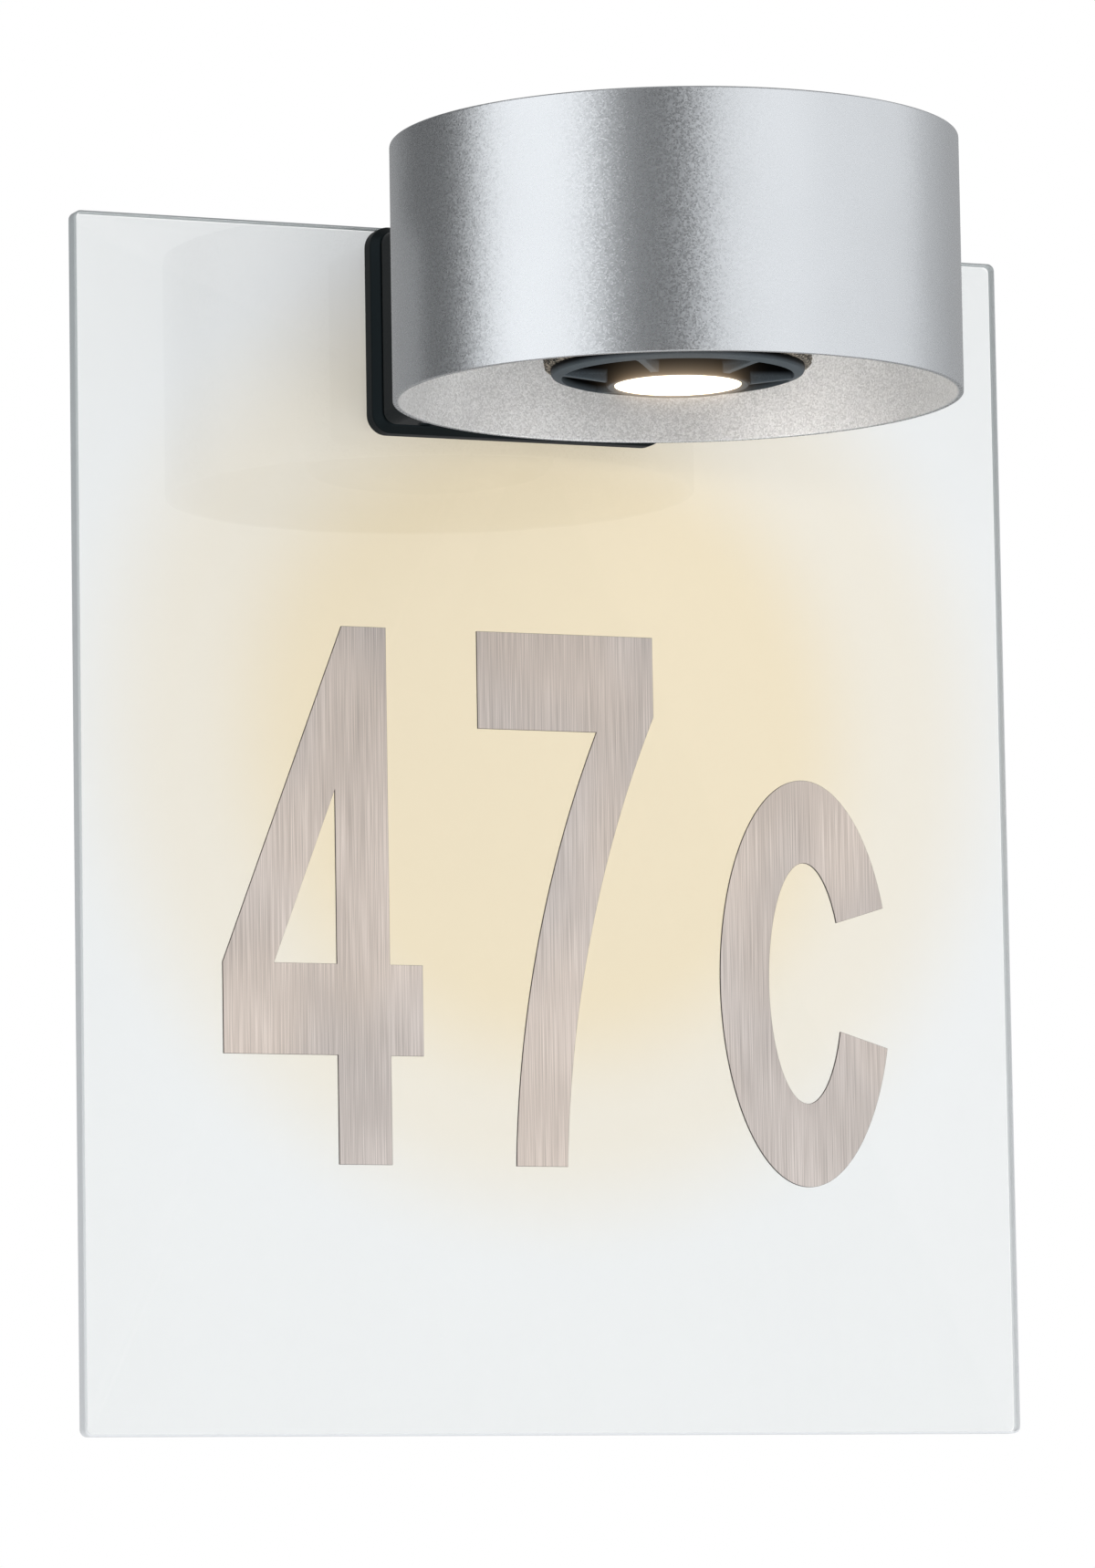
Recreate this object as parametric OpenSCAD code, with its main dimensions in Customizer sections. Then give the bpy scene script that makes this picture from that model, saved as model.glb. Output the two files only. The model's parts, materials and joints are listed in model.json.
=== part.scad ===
// Outdoor wall light: a round down-light on a bracket in front of a house number panel.
// Millimetres. X runs to the right, Y into the wall and Z up.
// The origin is the middle of the two wall screws, on the wall's face.

/* [Number panel] */
// Width of the clear panel
panel_w = 200; // [180:1:240]
// Height of the clear panel
panel_h = 240; // [220:1:280]
// Thickness of the clear panel
panel_t = 4; // [3:0.5:6]
// Radius of the panel's corners
panel_r = 1.5; // [0.5:0.5:5]
// Width of the polished chamfer along the panel's edges
panel_edge = 0.4; // [0.2:0.1:0.4]
// Thickness of the satin film on the panel's back
film_t = 0.3; // [0.2:0.1:0.6]
// Height of the panel's top edge above the bracket
panel_rise = 0.5; // [0:0.5:4]
// Width of the cut-out for the cable and the clamp screws
cutout_w = 16; // [13:1:20]
// Diameter of the buffers behind the lower corners
buffer_d = 12; // [8:1:16]
// Distance of the buffers from the panel's edges
buffer_inset = 14; // [10:1:30]

/* [House number] */
// Thickness of the metal digits
digit_t = 0.5; // [0.3:0.1:1.5]
// Height of the two numerals
digit_h = 106.5; // [95:0.5:112]
// Height of the numerals' foot above the panel's lower edge
digit_foot = 53; // [45:1:60]
// Left edge of the four, from the panel's middle
four_x = -71; // [-75:1:-66]
// Width of the four
four_w = 42; // [40:1:46]
// Width of the four's upright stem
stem_w = 11.2; // [8:0.2:13]
// Distance from the four's left edge to its stem
stem_x = 23.9; // [22:0.1:26]
// Height of the four's cross bar
bar_h = 18; // [12:1:20]
// Height of the four's cross bar above its foot
bar_z = 21.5; // [16:0.5:26]
// Width of the four's slanted stroke, measured level
slant_w = 10.7; // [8:0.1:12]
// Width of the four's flat top
peak_w = 9.4; // [7:0.2:12]
// Left edge of the seven, from the panel's middle
seven_x = -16.5; // [-20:0.5:-12]
// Width of the seven
seven_w = 38; // [34:1:42]
// Height of the seven's top bar
seven_bar = 19.5; // [14:0.5:22]
// Radius of the seven's curved leg
leg_r = 245; // [230:5:300]
// Width of the seven's leg
leg_w = 11; // [8:0.5:13]
// Distance from the seven's left edge to its leg's foot
leg_x = 6.8; // [5:0.1:8]
// Middle of the letter, from the panel's middle
letter_x = 53.9; // [50:0.5:60]
// Width of the letter's full outer ellipse
letter_w = 37.6; // [34:0.2:42]
// Height of the letter
letter_h = 82.2; // [70:0.2:90]
// Width of the letter's stroke at its side
letter_side = 10.7; // [8:0.1:12]
// Height of the letter's stroke at top and foot
letter_cap = 16.8; // [12:0.2:18]
// Height of the letter's mouth at its inner end
mouth_h = 21.4; // [16:0.2:26]
// Rise of the mouth's middle above the letter's middle
mouth_rise = 1.4; // [0:0.1:3]
// Drop of the letter's foot below the numerals' foot
letter_drop = 3.6; // [0:0.2:6]

/* [Wall plate] */
// Depth of the wall plate, from the wall to the seal behind the panel
plate_d = 9.9; // [8:0.1:14]
// Distance of the wall plate's sides inside the bracket's outline
plate_inset = 1.5; // [1:0.25:3]
// Thickness of the wall plate's floor
plate_floor = 2.5; // [2.5:0.25:4]
// Thickness of the wall plate's sides
plate_wall = 2.2; // [1.5:0.1:3]
// Distance between the two wall screws
wall_pitch = 40; // [36:1:42]
// Width of the wall screws' slots
slot_w = 4.5; // [3.5:0.25:5]
// Length of the wall screws' slots
slot_l = 9; // [6:0.5:10]
// Diameter of the supply cable's hole in its grommet
inlet_d = 7; // [5:0.5:9]
// Thickness of the seals on both sides of the panel
seal_t = 1.1; // [0.8:0.1:1.4]

/* [Bracket] */
// Width of the bracket
bracket_w = 63; // [60:0.5:70]
// Height of the bracket
bracket_h = 41.5; // [41:0.5:46]
// Radius of the bracket's corners
bracket_r = 4; // [3:0.5:6]
// Depth of the bracket's rim
rim_d = 5.2; // [4.8:0.1:5.6]
// Depth of the rim's bevelled edge
bevel_d = 2; // [1:0.25:2.5]
// Width of the rim's bevelled edge
bevel_w = 1.4; // [0.8:0.1:1.8]
// Thickness of the bracket's floor
floor_t = 2.2; // [2:0.1:2.6]
// Distance between the two clamp screws
clamp_pitch = 24; // [23:0.5:25]
// Diameter of the clamp screws
clamp_d = 4; // [3:0.5:4]

/* [Saddle] */
// Thickness of the saddle's sides
saddle_wall = 2.6; // [2:0.1:3]
// Thickness of the saddle's curved front
saddle_web = 3; // [2:0.25:3]
// Width of the shadow joint between saddle and bracket
shadow_gap = 0.6; // [0.3:0.1:1]
// Thickness of the seal between the saddle and the lamp head
head_seal_t = 0.8; // [0.5:0.1:1]
// Diameter of the grub screws that hold the saddle
grub_d = 4; // [3:0.5:5]
// Angle of the head screws to each side of the middle
screw_angle = 20; // [18:1:22]

/* [Lamp head] */
// Outer diameter of the lamp head
head_d = 110; // [106:1:120]
// Height of the lamp head
head_h = 50; // [50:0.5:60]
// Thickness of the head's wall
head_wall = 1.25; // [1:0.25:3]
// Thickness of the head's top
head_top = 2.5; // [2:0.25:3]
// Radius of the head's outer edges
head_edge = 0.8; // [0.4:0.1:1.2]
// Gap between the bracket's rim and the nearest place of the head
head_gap_min = 4.8; // [4.3:0.1:9.8]
// Distance from the bracket's middle to the head's axis, to the right
head_shift = 7.7; // [4:0.1:9]
// Drop of the head's open rim below the bracket
head_drop = 1; // [0:0.25:2]
// Depth of the open cavity, from the rim to the ceiling
cavity_h = 22.5; // [20:0.5:23]
// Thickness of the ceiling plate
ceiling_t = 2.5; // [2:0.25:3]
// Distance of the ceiling screws from the head's wall
boss_inset = 9; // [8:0.5:11]

/* [Lamp] */
// Diameter of the lamp's front ring
bezel_d = 49; // [47:0.5:52]
// Height of the front ring above the head's open rim
bezel_rise = 4.6; // [3:0.1:6]
// Thickness of the front ring
bezel_t = 1.4; // [1.2:0.1:2.4]
// Width of the front ring's flat band
band_w = 3.2; // [2.5:0.1:4]
// Diameter of the lens
lens_d = 24.5; // [20:0.5:27]
// Drop of the lens below the front ring
lens_drop = 2; // [1:0.1:2.6]
// Number of spokes in front of the heat sink
spokes = 6; // [3:1:12]
// Thickness of a spoke
spoke_t = 1.5; // [1:0.1:2.5]
// Angle of the first spoke, turned from the right
spoke_angle = 48; // [0:1:60]
// Number of fins on the heat sink
fins = 24; // [12:1:36]
// Height of the heat sink above the front ring
sink_top_h = 19; // [18:0.5:20]
// Height of the lamp's cap, from the heat sink to the holder
cap_h = 9.4; // [9:0.1:11]
// Distance between the lamp's two contact pins
pin_pitch = 10; // [9:0.5:12]
// Turn that frees the lamp, in degrees
turn = 25; // [15:1:35]
// Wall of the cup around the lamp
cup_wall = 2.2; // [1.5:0.1:3]

/* [Hidden] */
$fn = 96;

// Colours
silver = [0.66, 0.68, 0.70];
black = [0.11, 0.12, 0.13];
steel = [0.72, 0.72, 0.73];
rubber = [0.16, 0.15, 0.14];

// Clearances
thread_gap = 0.05;
screw_gap = 0.2;
wire_gap = 0.1;
eps = 0.01;
// Length of a cutter beyond what it cuts
cut_through = 20;

// Planes from the wall to the front, on the Y axis
film_back = -(plate_d + seal_t);
panel_back = film_back - film_t;
panel_front = panel_back - panel_t;
rim_front = panel_front - rim_d;

// Number panel
panel_top = bracket_h / 2 + panel_rise;
panel_foot = panel_top - panel_h;
panel_x = head_shift;
film_margin = panel_edge + 0.1;
cutout_r = 3;
buffer_edge = 1.5;
bar_top = bar_z + bar_h;
tip_share = 0.82;
leg_drop = 7;
mouth_spread = 0.31;

// Wall plate
plate_w = bracket_w - 2 * plate_inset;
plate_h = bracket_h - 2 * plate_inset;
plate_r = bracket_r - 1;
plate_hollow_r = 1.2;
seal_w = 3;
seal_margin = 1.2;
wall_seal_d = 1.4;
wall_seal_w = plate_w - 2 * seal_margin;
wall_seal_h = plate_h - 2 * seal_margin;
wall_seal_r = plate_r - 1;
grommet_neck = inlet_d / 2 + 2.9;
grommet_flange = grommet_neck + 1.1;
grommet_lip = 1;
grommet_collar = 1.2;
clamp_boss_r = clamp_d / 2 + 2;
clamp_bore_end = 3;
clamp_tip = 3.5;
cutout_h = clamp_pitch + 2 * clamp_boss_r + 2;

// Bracket and saddle
saddle_w = bracket_w - 2 * bevel_w;
saddle_h = bracket_h - 2 * bevel_w;
saddle_r = bracket_r - bevel_w;
hollow_w = saddle_w - 2 * saddle_wall;
hollow_h = saddle_h - 2 * saddle_wall;
hollow_r = 1.5;
bracket_seal_w = bracket_w - 2 * seal_margin - 1;
bracket_seal_h = bracket_h - 2 * seal_margin - 1;
bracket_seal_r = bracket_r - 1.5;
clamp_head_r = clamp_d - screw_gap;
clamp_head_h = 2.4;
lug_w = 9;
lug_h = 6;
lug_x0 = -hollow_w / 2 + 1.5;
lug_x1 = lug_x0 + lug_w;
lug_x = lug_x0 + lug_w / 2;
tongue_w = 2.2;
grub_l = saddle_wall + 3.4;
grub_sink = 0.4;
block_room = 0.4;
pole_h = (hollow_h - 2 * lug_h - 2 * block_room) / 3;
pole_groove = 0.8;
block_x0 = -hollow_w / 2 + 0.2;
block_w = 11;
block_x1 = block_x0 + block_w;
entry_r = 1.6;
entry_row = 0.3;
screw_row = 0.75;

// Lamp head
head_r = head_d / 2;
inner_r = head_r - head_wall;
head_reach = rim_d + head_gap_min + head_r;
axis_x = head_shift;
axis_y = panel_front - head_reach;
head_foot = -bracket_h / 2 - head_drop;
head_roof = head_foot + head_h;
ceiling_z = head_foot + cavity_h;
ceiling_top = ceiling_z + ceiling_t;
ledge_z = ceiling_top + 1;
ledge_h = 1.4;
ledge_w = 2.2;
boss_r = 4;
boss_angles = [30, 150, 270];
boss_ring = inner_r - boss_inset;
ceiling_grip = 7;
rib_t = 2;
small_d = 3;
small_head_r = 2.8;
small_head_h = 1.7;
wire_bore_r = 2.9;
wire_neck_r = wire_bore_r + 1.9;
wire_rim_r = wire_neck_r + 0.9;
wire_rim_t = 1.8;
wire_turn = -5;
entry_z = saddle_h / 2 - wire_neck_r - 2.35;
saddle_r0 = head_r + head_seal_t;
saddle_r1 = saddle_r0 + saddle_web;
screw_seat = inner_r - 0.3;
thread_boss_r = 3.6;
plate_edge_r = inner_r - 0.2;
earth_ring = boss_ring - 4;

// Lamp, upwards from the lower face of its front ring
rim_z = head_foot + bezel_rise;
bezel_r = bezel_d / 2;
lens_r = lens_d / 2;
hub_r = lens_r + 1.6;
band_r = bezel_r - band_w;
skirt_r = bezel_r - 1.6;
cup_r0 = skirt_r + 0.9;
cup_r1 = cup_r0 + cup_wall;
lamp_seal_t = 1.4;
cup_foot = rim_z + bezel_t + 0.15 + lamp_seal_t;
cup_flange_r = cup_r1 + 7;
cup_flange_t = 2;
cup_screw_ring = cup_r1 + 3.8;
sink_foot = rim_z + 4.5;
sink_top = rim_z + sink_top_h;
sink_core_r = hub_r + 0.2;
sink_plate_t = 3;
board_t = 1.6;
chip_t = 0.8;
chip_z = sink_top - sink_plate_t - board_t - chip_t;
cap_top = sink_top + cap_h;
neck_r = 11.5;
neck_h = 1.8;
cap_r = 20;
roof_top = cap_top + 0.2;
roof_t = 2;
roof_hole_r = neck_r + 1;
pin_r = 1.5;
pin_head_r = 2.5;
pin_neck_h = 3.8;
pin_head_h = 2.4;
slot_gap = 0.35;
lip_t = 3;
holder_r = 14;
holder_h = 9;
pocket_top = roof_top + 7;
contact_t = 0.6;
contact_r = 1.1;
contact_top = roof_top + holder_h + 1;
holder_ear_r = 4;
holder_ear_t = 3;
holder_ear_x = holder_r + small_head_r + screw_gap;
cap_wall = 2;
lead_r = 0.8;
lead_step = 2.3 * lead_r;
lead_steps = 5;
lead_sides = 8;
lead_run = 14;
lead_slack = 19;
ring_t = 1;
ring_r = 3.6;
hub_high = 4.2;
skirt_high = 6;

// Distance from the panel's face to the head's wall, at a place across the bracket
function head_gap(x) = head_reach - sqrt(pow(head_r, 2) - pow(x - axis_x, 2));
// Free depth inside the saddle at that place
function free_depth(x) = head_gap(x) - head_seal_t - saddle_web;
// Points of an arc about a centre
function arc(cx, cy, r, a0, a1, n) =
    [for (i = [0:n]) [cx + r * cos(a0 + (a1 - a0) * i / n), cy + r * sin(a0 + (a1 - a0) * i / n)]];
// Points of an ellipse with half widths a and b
function ellipse(a, b, n) = [for (i = [0:n - 1]) [a * cos(360 * i / n), b * sin(360 * i / n)]];
// Place of the seven's leg at a height, for a leg that starts at x
function leg_at(x, z) = x + leg_r - sqrt(pow(leg_r, 2) - pow(z + leg_drop, 2));
// Place of a row of openings, as a share of the terminal block's depth
function terminal_y(row) = panel_front - floor_t - row * (block_depth - floor_t);

lug_depth = free_depth(lug_x1) - 1;
block_depth = min(free_depth(block_x1) - block_room, 13);
tongue_depth = free_depth(hollow_w / 2 - tongue_w) - 0.5;
// Middle of the grub screws, from front to back
grub_y = panel_front - (rim_d + lug_depth) / 2 - 0.2;

// A flat shape in X and Z, made solid from y towards the front
module slab(y, t) {
    translate([0, y, 0]) rotate([90, 0, 0]) linear_extrude(t) children();
}

// A round bar along Y from y towards the front
module peg(x, z, y, t, r) {
    translate([x, y, z]) rotate([90, 0, 0]) cylinder(h = t, r = r);
}

module round_rect(w, h, r) {
    square([w - 2 * r, h], center = true);
    square([w, h - 2 * r], center = true);
    for (sx = [-1, 1]) {
        for (sz = [-1, 1]) {
            translate([sx * (w / 2 - r), sz * (h / 2 - r)]) circle(r);
        }
    }
}

// A rounded block whose four edges slope inwards towards the front
module bevel_slab(y, t, w, h, r, inset) {
    for (sx = [-1, 1]) {
        for (sz = [-1, 1]) {
            translate([sx * (w / 2 - r), y, sz * (h / 2 - r)])
                rotate([90, 0, 0]) cylinder(h = t, r1 = r, r2 = r - inset);
        }
    }
    translate([0, y, -h / 2 + r]) linear_extrude(h - 2 * r)
        polygon([[-w / 2, 0], [w / 2, 0], [w / 2 - inset, -t], [-w / 2 + inset, -t]]);
    translate([-w / 2 + r, y, 0]) rotate([90, 0, 90]) linear_extrude(w - 2 * r)
        polygon([[0, -h / 2], [0, h / 2], [-t, h / 2 - inset], [-t, -h / 2 + inset]]);
}

// A frame-shaped seal, its outer edge w by h
module seal_frame(y, t, w, h, r) {
    slab(y, t) difference() {
        round_rect(w, h, r);
        round_rect(w - 2 * seal_w, h - 2 * seal_w, max(r - 2, 0.6));
    }
}

// Things on the lamp head's axis
module on_axis(z) {
    translate([axis_x, axis_y, z]) children();
}

// Things that point outwards from the head's axis, turned from the wall side
module outward(angle, z) {
    on_axis(z) rotate([0, 0, angle]) rotate([-90, 0, 0]) children();
}

module head_cylinder(r) {
    on_axis(head_foot - cut_through) cylinder(h = head_h + 2 * cut_through, r = r, $fn = 180);
}

// A screw that points along +Z, its head below z = 0
module screw(d, l, head_r, head_h) {
    difference() {
        union() {
            translate([0, 0, -head_h]) cylinder(h = head_h, r = head_r);
            translate([0, 0, -head_h / 3]) cylinder(h = l + head_h / 3, r = d / 2);
        }
        translate([0, 0, -head_h - eps]) cylinder(h = head_h * 0.6, r = d * 0.36, $fn = 6);
    }
}

module panel_cutout(y, t) {
    slab(y + eps, t + 2 * eps) round_rect(cutout_w, cutout_h, cutout_r);
}

module number_panel() {
    face = panel_back - panel_edge;
    color([0.90, 0.94, 0.93, 0.5]) difference() {
        translate([panel_x, 0, panel_foot + panel_h / 2]) {
            slab(face, panel_t - 2 * panel_edge) round_rect(panel_w, panel_h, panel_r);
            bevel_slab(panel_front + panel_edge, panel_edge, panel_w, panel_h, panel_r, panel_edge);
            translate([0, face, 0]) mirror([0, 1, 0])
                bevel_slab(0, panel_edge, panel_w, panel_h, panel_r, panel_edge);
        }
        panel_cutout(panel_back, panel_t);
    }
}

module satin_film() {
    color([0.95, 0.95, 0.93]) difference() {
        slab(film_back, film_t) translate([panel_x, panel_foot + panel_h / 2])
            round_rect(panel_w - 2 * film_margin, panel_h - 2 * film_margin, panel_r);
        panel_cutout(film_back, film_t);
    }
}

module digit(x, z) {
    color([0.76, 0.72, 0.69]) slab(panel_front, digit_t)
        translate([panel_x + x, panel_foot + digit_foot + z]) children();
}

module digit_four() {
    stem_end = stem_x + stem_w;
    peak_x = stem_end - peak_w;
    slope = (digit_h - bar_top) / peak_x;
    digit(four_x, 0) difference() {
        polygon([[0, bar_z], [stem_x, bar_z], [stem_x, 0], [stem_end, 0], [stem_end, bar_z],
            [four_w, bar_z], [four_w, bar_top], [stem_end, bar_top], [stem_end, digit_h],
            [peak_x, digit_h], [0, bar_top]]);
        polygon([[slant_w, bar_top], [stem_x, bar_top], [stem_x, bar_top + (stem_x - slant_w) * slope]]);
    }
}

module digit_seven() {
    steps = 10;
    bar_foot = digit_h - seven_bar;
    corner = digit_h - tip_share * seven_bar;
    outer = [for (i = [0:steps]) let (z = corner * (1 - i / steps)) [leg_at(leg_x + leg_w, z), z]];
    inner = [for (i = [0:steps]) let (z = bar_foot * i / steps) [leg_at(leg_x, z), z]];
    digit(seven_x, 0)
        polygon(concat([[0, bar_foot], [0, digit_h], [seven_w, digit_h], [seven_w, corner]],
            outer, inner));
}

module letter_c() {
    a = letter_w / 2;
    b = letter_h / 2;
    near = a / 3;
    far = 2 * a;
    half = mouth_h / 2;
    far_half = half + mouth_spread * (far - near);
    digit(letter_x, b - letter_drop) difference() {
        polygon(ellipse(a, b, 72));
        polygon(ellipse(a - letter_side, b - letter_cap, 48));
        translate([0, mouth_rise])
            polygon([[0, 0], [near, half], [far, far_half], [far, -far_half], [near, -half]]);
    }
}

module panel_buffers() {
    r = buffer_d / 2;
    edge = buffer_edge;
    color([0.85, 0.85, 0.83]) for (s = [-1, 1]) {
        translate([panel_x + s * (panel_w / 2 - buffer_inset), film_back, panel_foot + buffer_inset])
            rotate([-90, 0, 0]) rotate_extrude()
                polygon(concat([[0, 0], [r, 0], [r, -film_back / 2]],
                    arc(r - edge, -film_back - edge, edge, 0, 90, 5), [[0, -film_back]]));
    }
}

module wall_plate() {
    color(black) difference() {
        union() {
            difference() {
                slab(0, plate_d) round_rect(plate_w, plate_h, plate_r);
                slab(-plate_floor, plate_d)
                    round_rect(plate_w - 2 * plate_wall, plate_h - 2 * plate_wall, plate_hollow_r);
            }
            for (s = [-1, 1]) {
                peg(0, s * clamp_pitch / 2, -wall_seal_d, -panel_front - wall_seal_d, clamp_boss_r);
            }
        }
        for (s = [-1, 1]) {
            peg(0, s * clamp_pitch / 2, -clamp_bore_end, -panel_front, clamp_d / 2 + thread_gap);
            translate([s * wall_pitch / 2, 0, 0]) wall_slot();
        }
        peg(0, 0, eps, plate_floor + 1, grommet_neck + thread_gap);
        peg(0, 0, eps, grommet_lip + eps, grommet_flange + thread_gap);
        seal_frame(eps, wall_seal_d + eps, wall_seal_w, wall_seal_h, wall_seal_r);
    }
}

// A slot for a wall screw, along X
module wall_slot() {
    run = slot_l - slot_w;
    for (s = [-1, 1]) {
        peg(s * run / 2, 0, 1, plate_floor + 2, slot_w / 2);
    }
    translate([-run / 2, -plate_floor - 1, -slot_w / 2]) cube([run, plate_floor + 2, slot_w]);
}

module wall_seal() {
    color(rubber) seal_frame(0, wall_seal_d, wall_seal_w, wall_seal_h, wall_seal_r);
}

module cable_grommet() {
    top = plate_floor + grommet_collar;
    bevel = 0.5;
    color(rubber) rotate([90, 0, 0]) rotate_extrude()
        polygon([[inlet_d / 2, 0], [grommet_flange, 0], [grommet_flange, grommet_lip],
            [grommet_neck, grommet_lip], [grommet_neck, plate_floor],
            [grommet_flange, plate_floor], [grommet_flange - bevel, top], [inlet_d / 2, top]]);
}

module panel_seal() {
    color(rubber) seal_frame(-plate_d, seal_t, plate_w, plate_h, plate_r);
}

module bracket() {
    straight = rim_d - bevel_d;
    color(black) difference() {
        union() {
            difference() {
                union() {
                    slab(panel_front, straight) round_rect(bracket_w, bracket_h, bracket_r);
                    bevel_slab(panel_front - straight, bevel_d, bracket_w, bracket_h, bracket_r,
                        bevel_w);
                }
                slab(panel_front - floor_t, rim_d) round_rect(hollow_w, hollow_h, hollow_r);
            }
            for (s = [-1, 1]) {
                bracket_lug(s);
            }
            bracket_tongue();
        }
        peg(0, 0, panel_front + eps, floor_t + 1, clamp_pitch / 2 - clamp_d);
        for (s = [-1, 1]) {
            peg(0, s * clamp_pitch / 2, panel_front + eps, floor_t + 1, clamp_d / 2 + screw_gap);
            grub_bore(s, hollow_h / 2 - lug_h - 1, lug_h + 2);
        }
        seal_frame(panel_front + eps, seal_t + eps, bracket_seal_w, bracket_seal_h, bracket_seal_r);
    }
}

// A lug inside the saddle that takes a grub screw, above or below the terminal block
module bracket_lug(s) {
    z0 = s > 0 ? hollow_h / 2 - lug_h : -hollow_h / 2;
    translate([lug_x0, panel_front - lug_depth, z0]) cube([lug_w, lug_depth - floor_t + eps, lug_h]);
}

// A tongue that the saddle's right side hooks over
module bracket_tongue() {
    translate([hollow_w / 2 - tongue_w, panel_front - tongue_depth, -hollow_h / 4])
        cube([tongue_w, tongue_depth - floor_t + eps, hollow_h / 2]);
}

// A vertical bore for a grub screw, from a height z outwards
module grub_bore(s, z, l) {
    translate([lug_x, grub_y, s > 0 ? z : -z - l])
        cylinder(h = l, r = grub_d / 2 + thread_gap);
}

module bracket_seal() {
    color(rubber) seal_frame(panel_front, seal_t, bracket_seal_w, bracket_seal_h, bracket_seal_r);
}

module clamp_screws() {
    color(steel) for (s = [-1, 1]) {
        translate([0, panel_front - floor_t, s * clamp_pitch / 2]) rotate([-90, 0, 0])
            screw(clamp_d, -panel_front + floor_t - clamp_tip, clamp_head_r, clamp_head_h);
    }
}

module terminal_block() {
    h = 3 * pole_h;
    floor_x = block_x0 + 3;
    color([0.88, 0.87, 0.83]) difference() {
        translate([block_x0, panel_front - block_depth, -h / 2])
            cube([block_w, block_depth - floor_t, h]);
        for (i = [-1:1]) {
            for (row = [entry_row, screw_row]) {
                translate([floor_x, terminal_y(row), i * pole_h]) rotate([0, 90, 0])
                    cylinder(h = block_w, r = entry_r);
            }
        }
        for (i = [-0.5, 0.5]) {
            translate([block_x0 - 1, panel_front - block_depth - 1, i * pole_h - pole_groove / 2])
                cube([block_w + 2, 2, pole_groove]);
        }
    }
}

module saddle() {
    depth = head_gap(-saddle_w / 2) + 4;
    color(black) difference() {
        slab(rim_front, depth) round_rect(saddle_w, saddle_h, saddle_r);
        head_cylinder(saddle_r0);
        difference() {
            slab(rim_front + eps, depth) round_rect(hollow_w, hollow_h, hollow_r);
            head_cylinder(saddle_r1);
            for (s = [-1, 1]) {
                outward(s * screw_angle, entry_z) cylinder(h = saddle_r0 + 6, r = thread_boss_r);
            }
        }
        slab(rim_front + eps, shadow_gap + eps) difference() {
            square([bracket_w, bracket_h], center = true);
            round_rect(saddle_w - 2, saddle_h - 2, saddle_r - 1);
        }
        outward(wire_turn, entry_z) cylinder(h = head_r + 12, r = wire_neck_r + wire_gap);
        for (s = [-1, 1]) {
            outward(s * screw_angle, entry_z) cylinder(h = head_r + 12, r = small_d / 2 + thread_gap);
            grub_bore(s, hollow_h / 2 - 1, saddle_wall + 2);
        }
    }
}

module grub_screws() {
    color(steel) for (s = [-1, 1]) {
        translate([lug_x, grub_y, s * (hollow_h / 2 + saddle_wall - grub_sink)])
            rotate([s > 0 ? 180 : 0, 0, 0]) difference() {
                cylinder(h = grub_l, r = grub_d / 2);
                translate([0, 0, -eps]) cylinder(h = 2, r = grub_d * 0.28, $fn = 6);
            }
    }
}

module saddle_seal() {
    color(rubber) difference() {
        intersection() {
            slab(rim_front - 1, head_reach) round_rect(saddle_w - 3, saddle_h - 3, saddle_r);
            head_cylinder(saddle_r0);
        }
        head_cylinder(head_r);
        outward(wire_turn, entry_z) cylinder(h = head_r + 12, r = wire_neck_r + wire_gap);
        for (s = [-1, 1]) {
            outward(s * screw_angle, entry_z) cylinder(h = head_r + 12, r = small_d / 2 + screw_gap);
        }
    }
}

module head_screws() {
    color(steel) for (s = [-1, 1]) {
        outward(s * screw_angle, entry_z) translate([0, 0, screw_seat])
            screw(small_d, saddle_r0 + 4.8 - inner_r, small_head_r, small_head_h);
    }
}

module head_grommet() {
    seat = inner_r - 0.4;
    color(rubber) outward(wire_turn, entry_z) rotate_extrude()
        polygon([[wire_bore_r, seat - wire_rim_t], [wire_rim_r - 0.4, seat - wire_rim_t],
            [wire_rim_r, seat], [wire_neck_r, seat], [wire_neck_r, saddle_r1], [wire_bore_r, saddle_r1]]);
}

module lamp_head() {
    rim_edge = head_edge / 2;
    color(silver) difference() {
        union() {
            on_axis(0) rotate_extrude($fn = 180)
                polygon(concat(
                    [[inner_r, head_foot], [head_r - rim_edge, head_foot], [head_r, head_foot + rim_edge]],
                    arc(head_r - head_edge, head_roof - head_edge, head_edge, 0, 90, 4),
                    [[0, head_roof], [0, head_roof - head_top], [inner_r, head_roof - head_top],
                    [inner_r, ledge_z + ledge_h], [inner_r - ledge_w, ledge_z + ledge_h],
                    [inner_r - ledge_w, ledge_z], [inner_r, ledge_z]]));
            for (a = boss_angles) {
                on_axis(ceiling_top) rotate([0, 0, a]) screw_boss();
            }
        }
        for (a = boss_angles) {
            on_axis(ceiling_top - 1) rotate([0, 0, a]) translate([boss_ring, 0, 0])
                cylinder(h = 10, r = small_d / 2 + thread_gap);
        }
        outward(wire_turn, entry_z) translate([0, 0, inner_r - 5])
            cylinder(h = cut_through, r = wire_neck_r + thread_gap);
        for (s = [-1, 1]) {
            outward(s * screw_angle, entry_z) translate([0, 0, inner_r - 5])
                cylinder(h = cut_through, r = small_d / 2 + screw_gap);
        }
    }
}

// A boss from the head's top down to the ceiling plate, with a rib to the wall
module screw_boss() {
    h = head_roof - head_top - ceiling_top;
    translate([boss_ring, 0, 0]) cylinder(h = h + 0.5, r = boss_r);
    translate([boss_ring, -rib_t / 2, ledge_z + ledge_h / 2 - ceiling_top])
        cube([inner_r - boss_ring + 0.5, rib_t, h - 1]);
}

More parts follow.
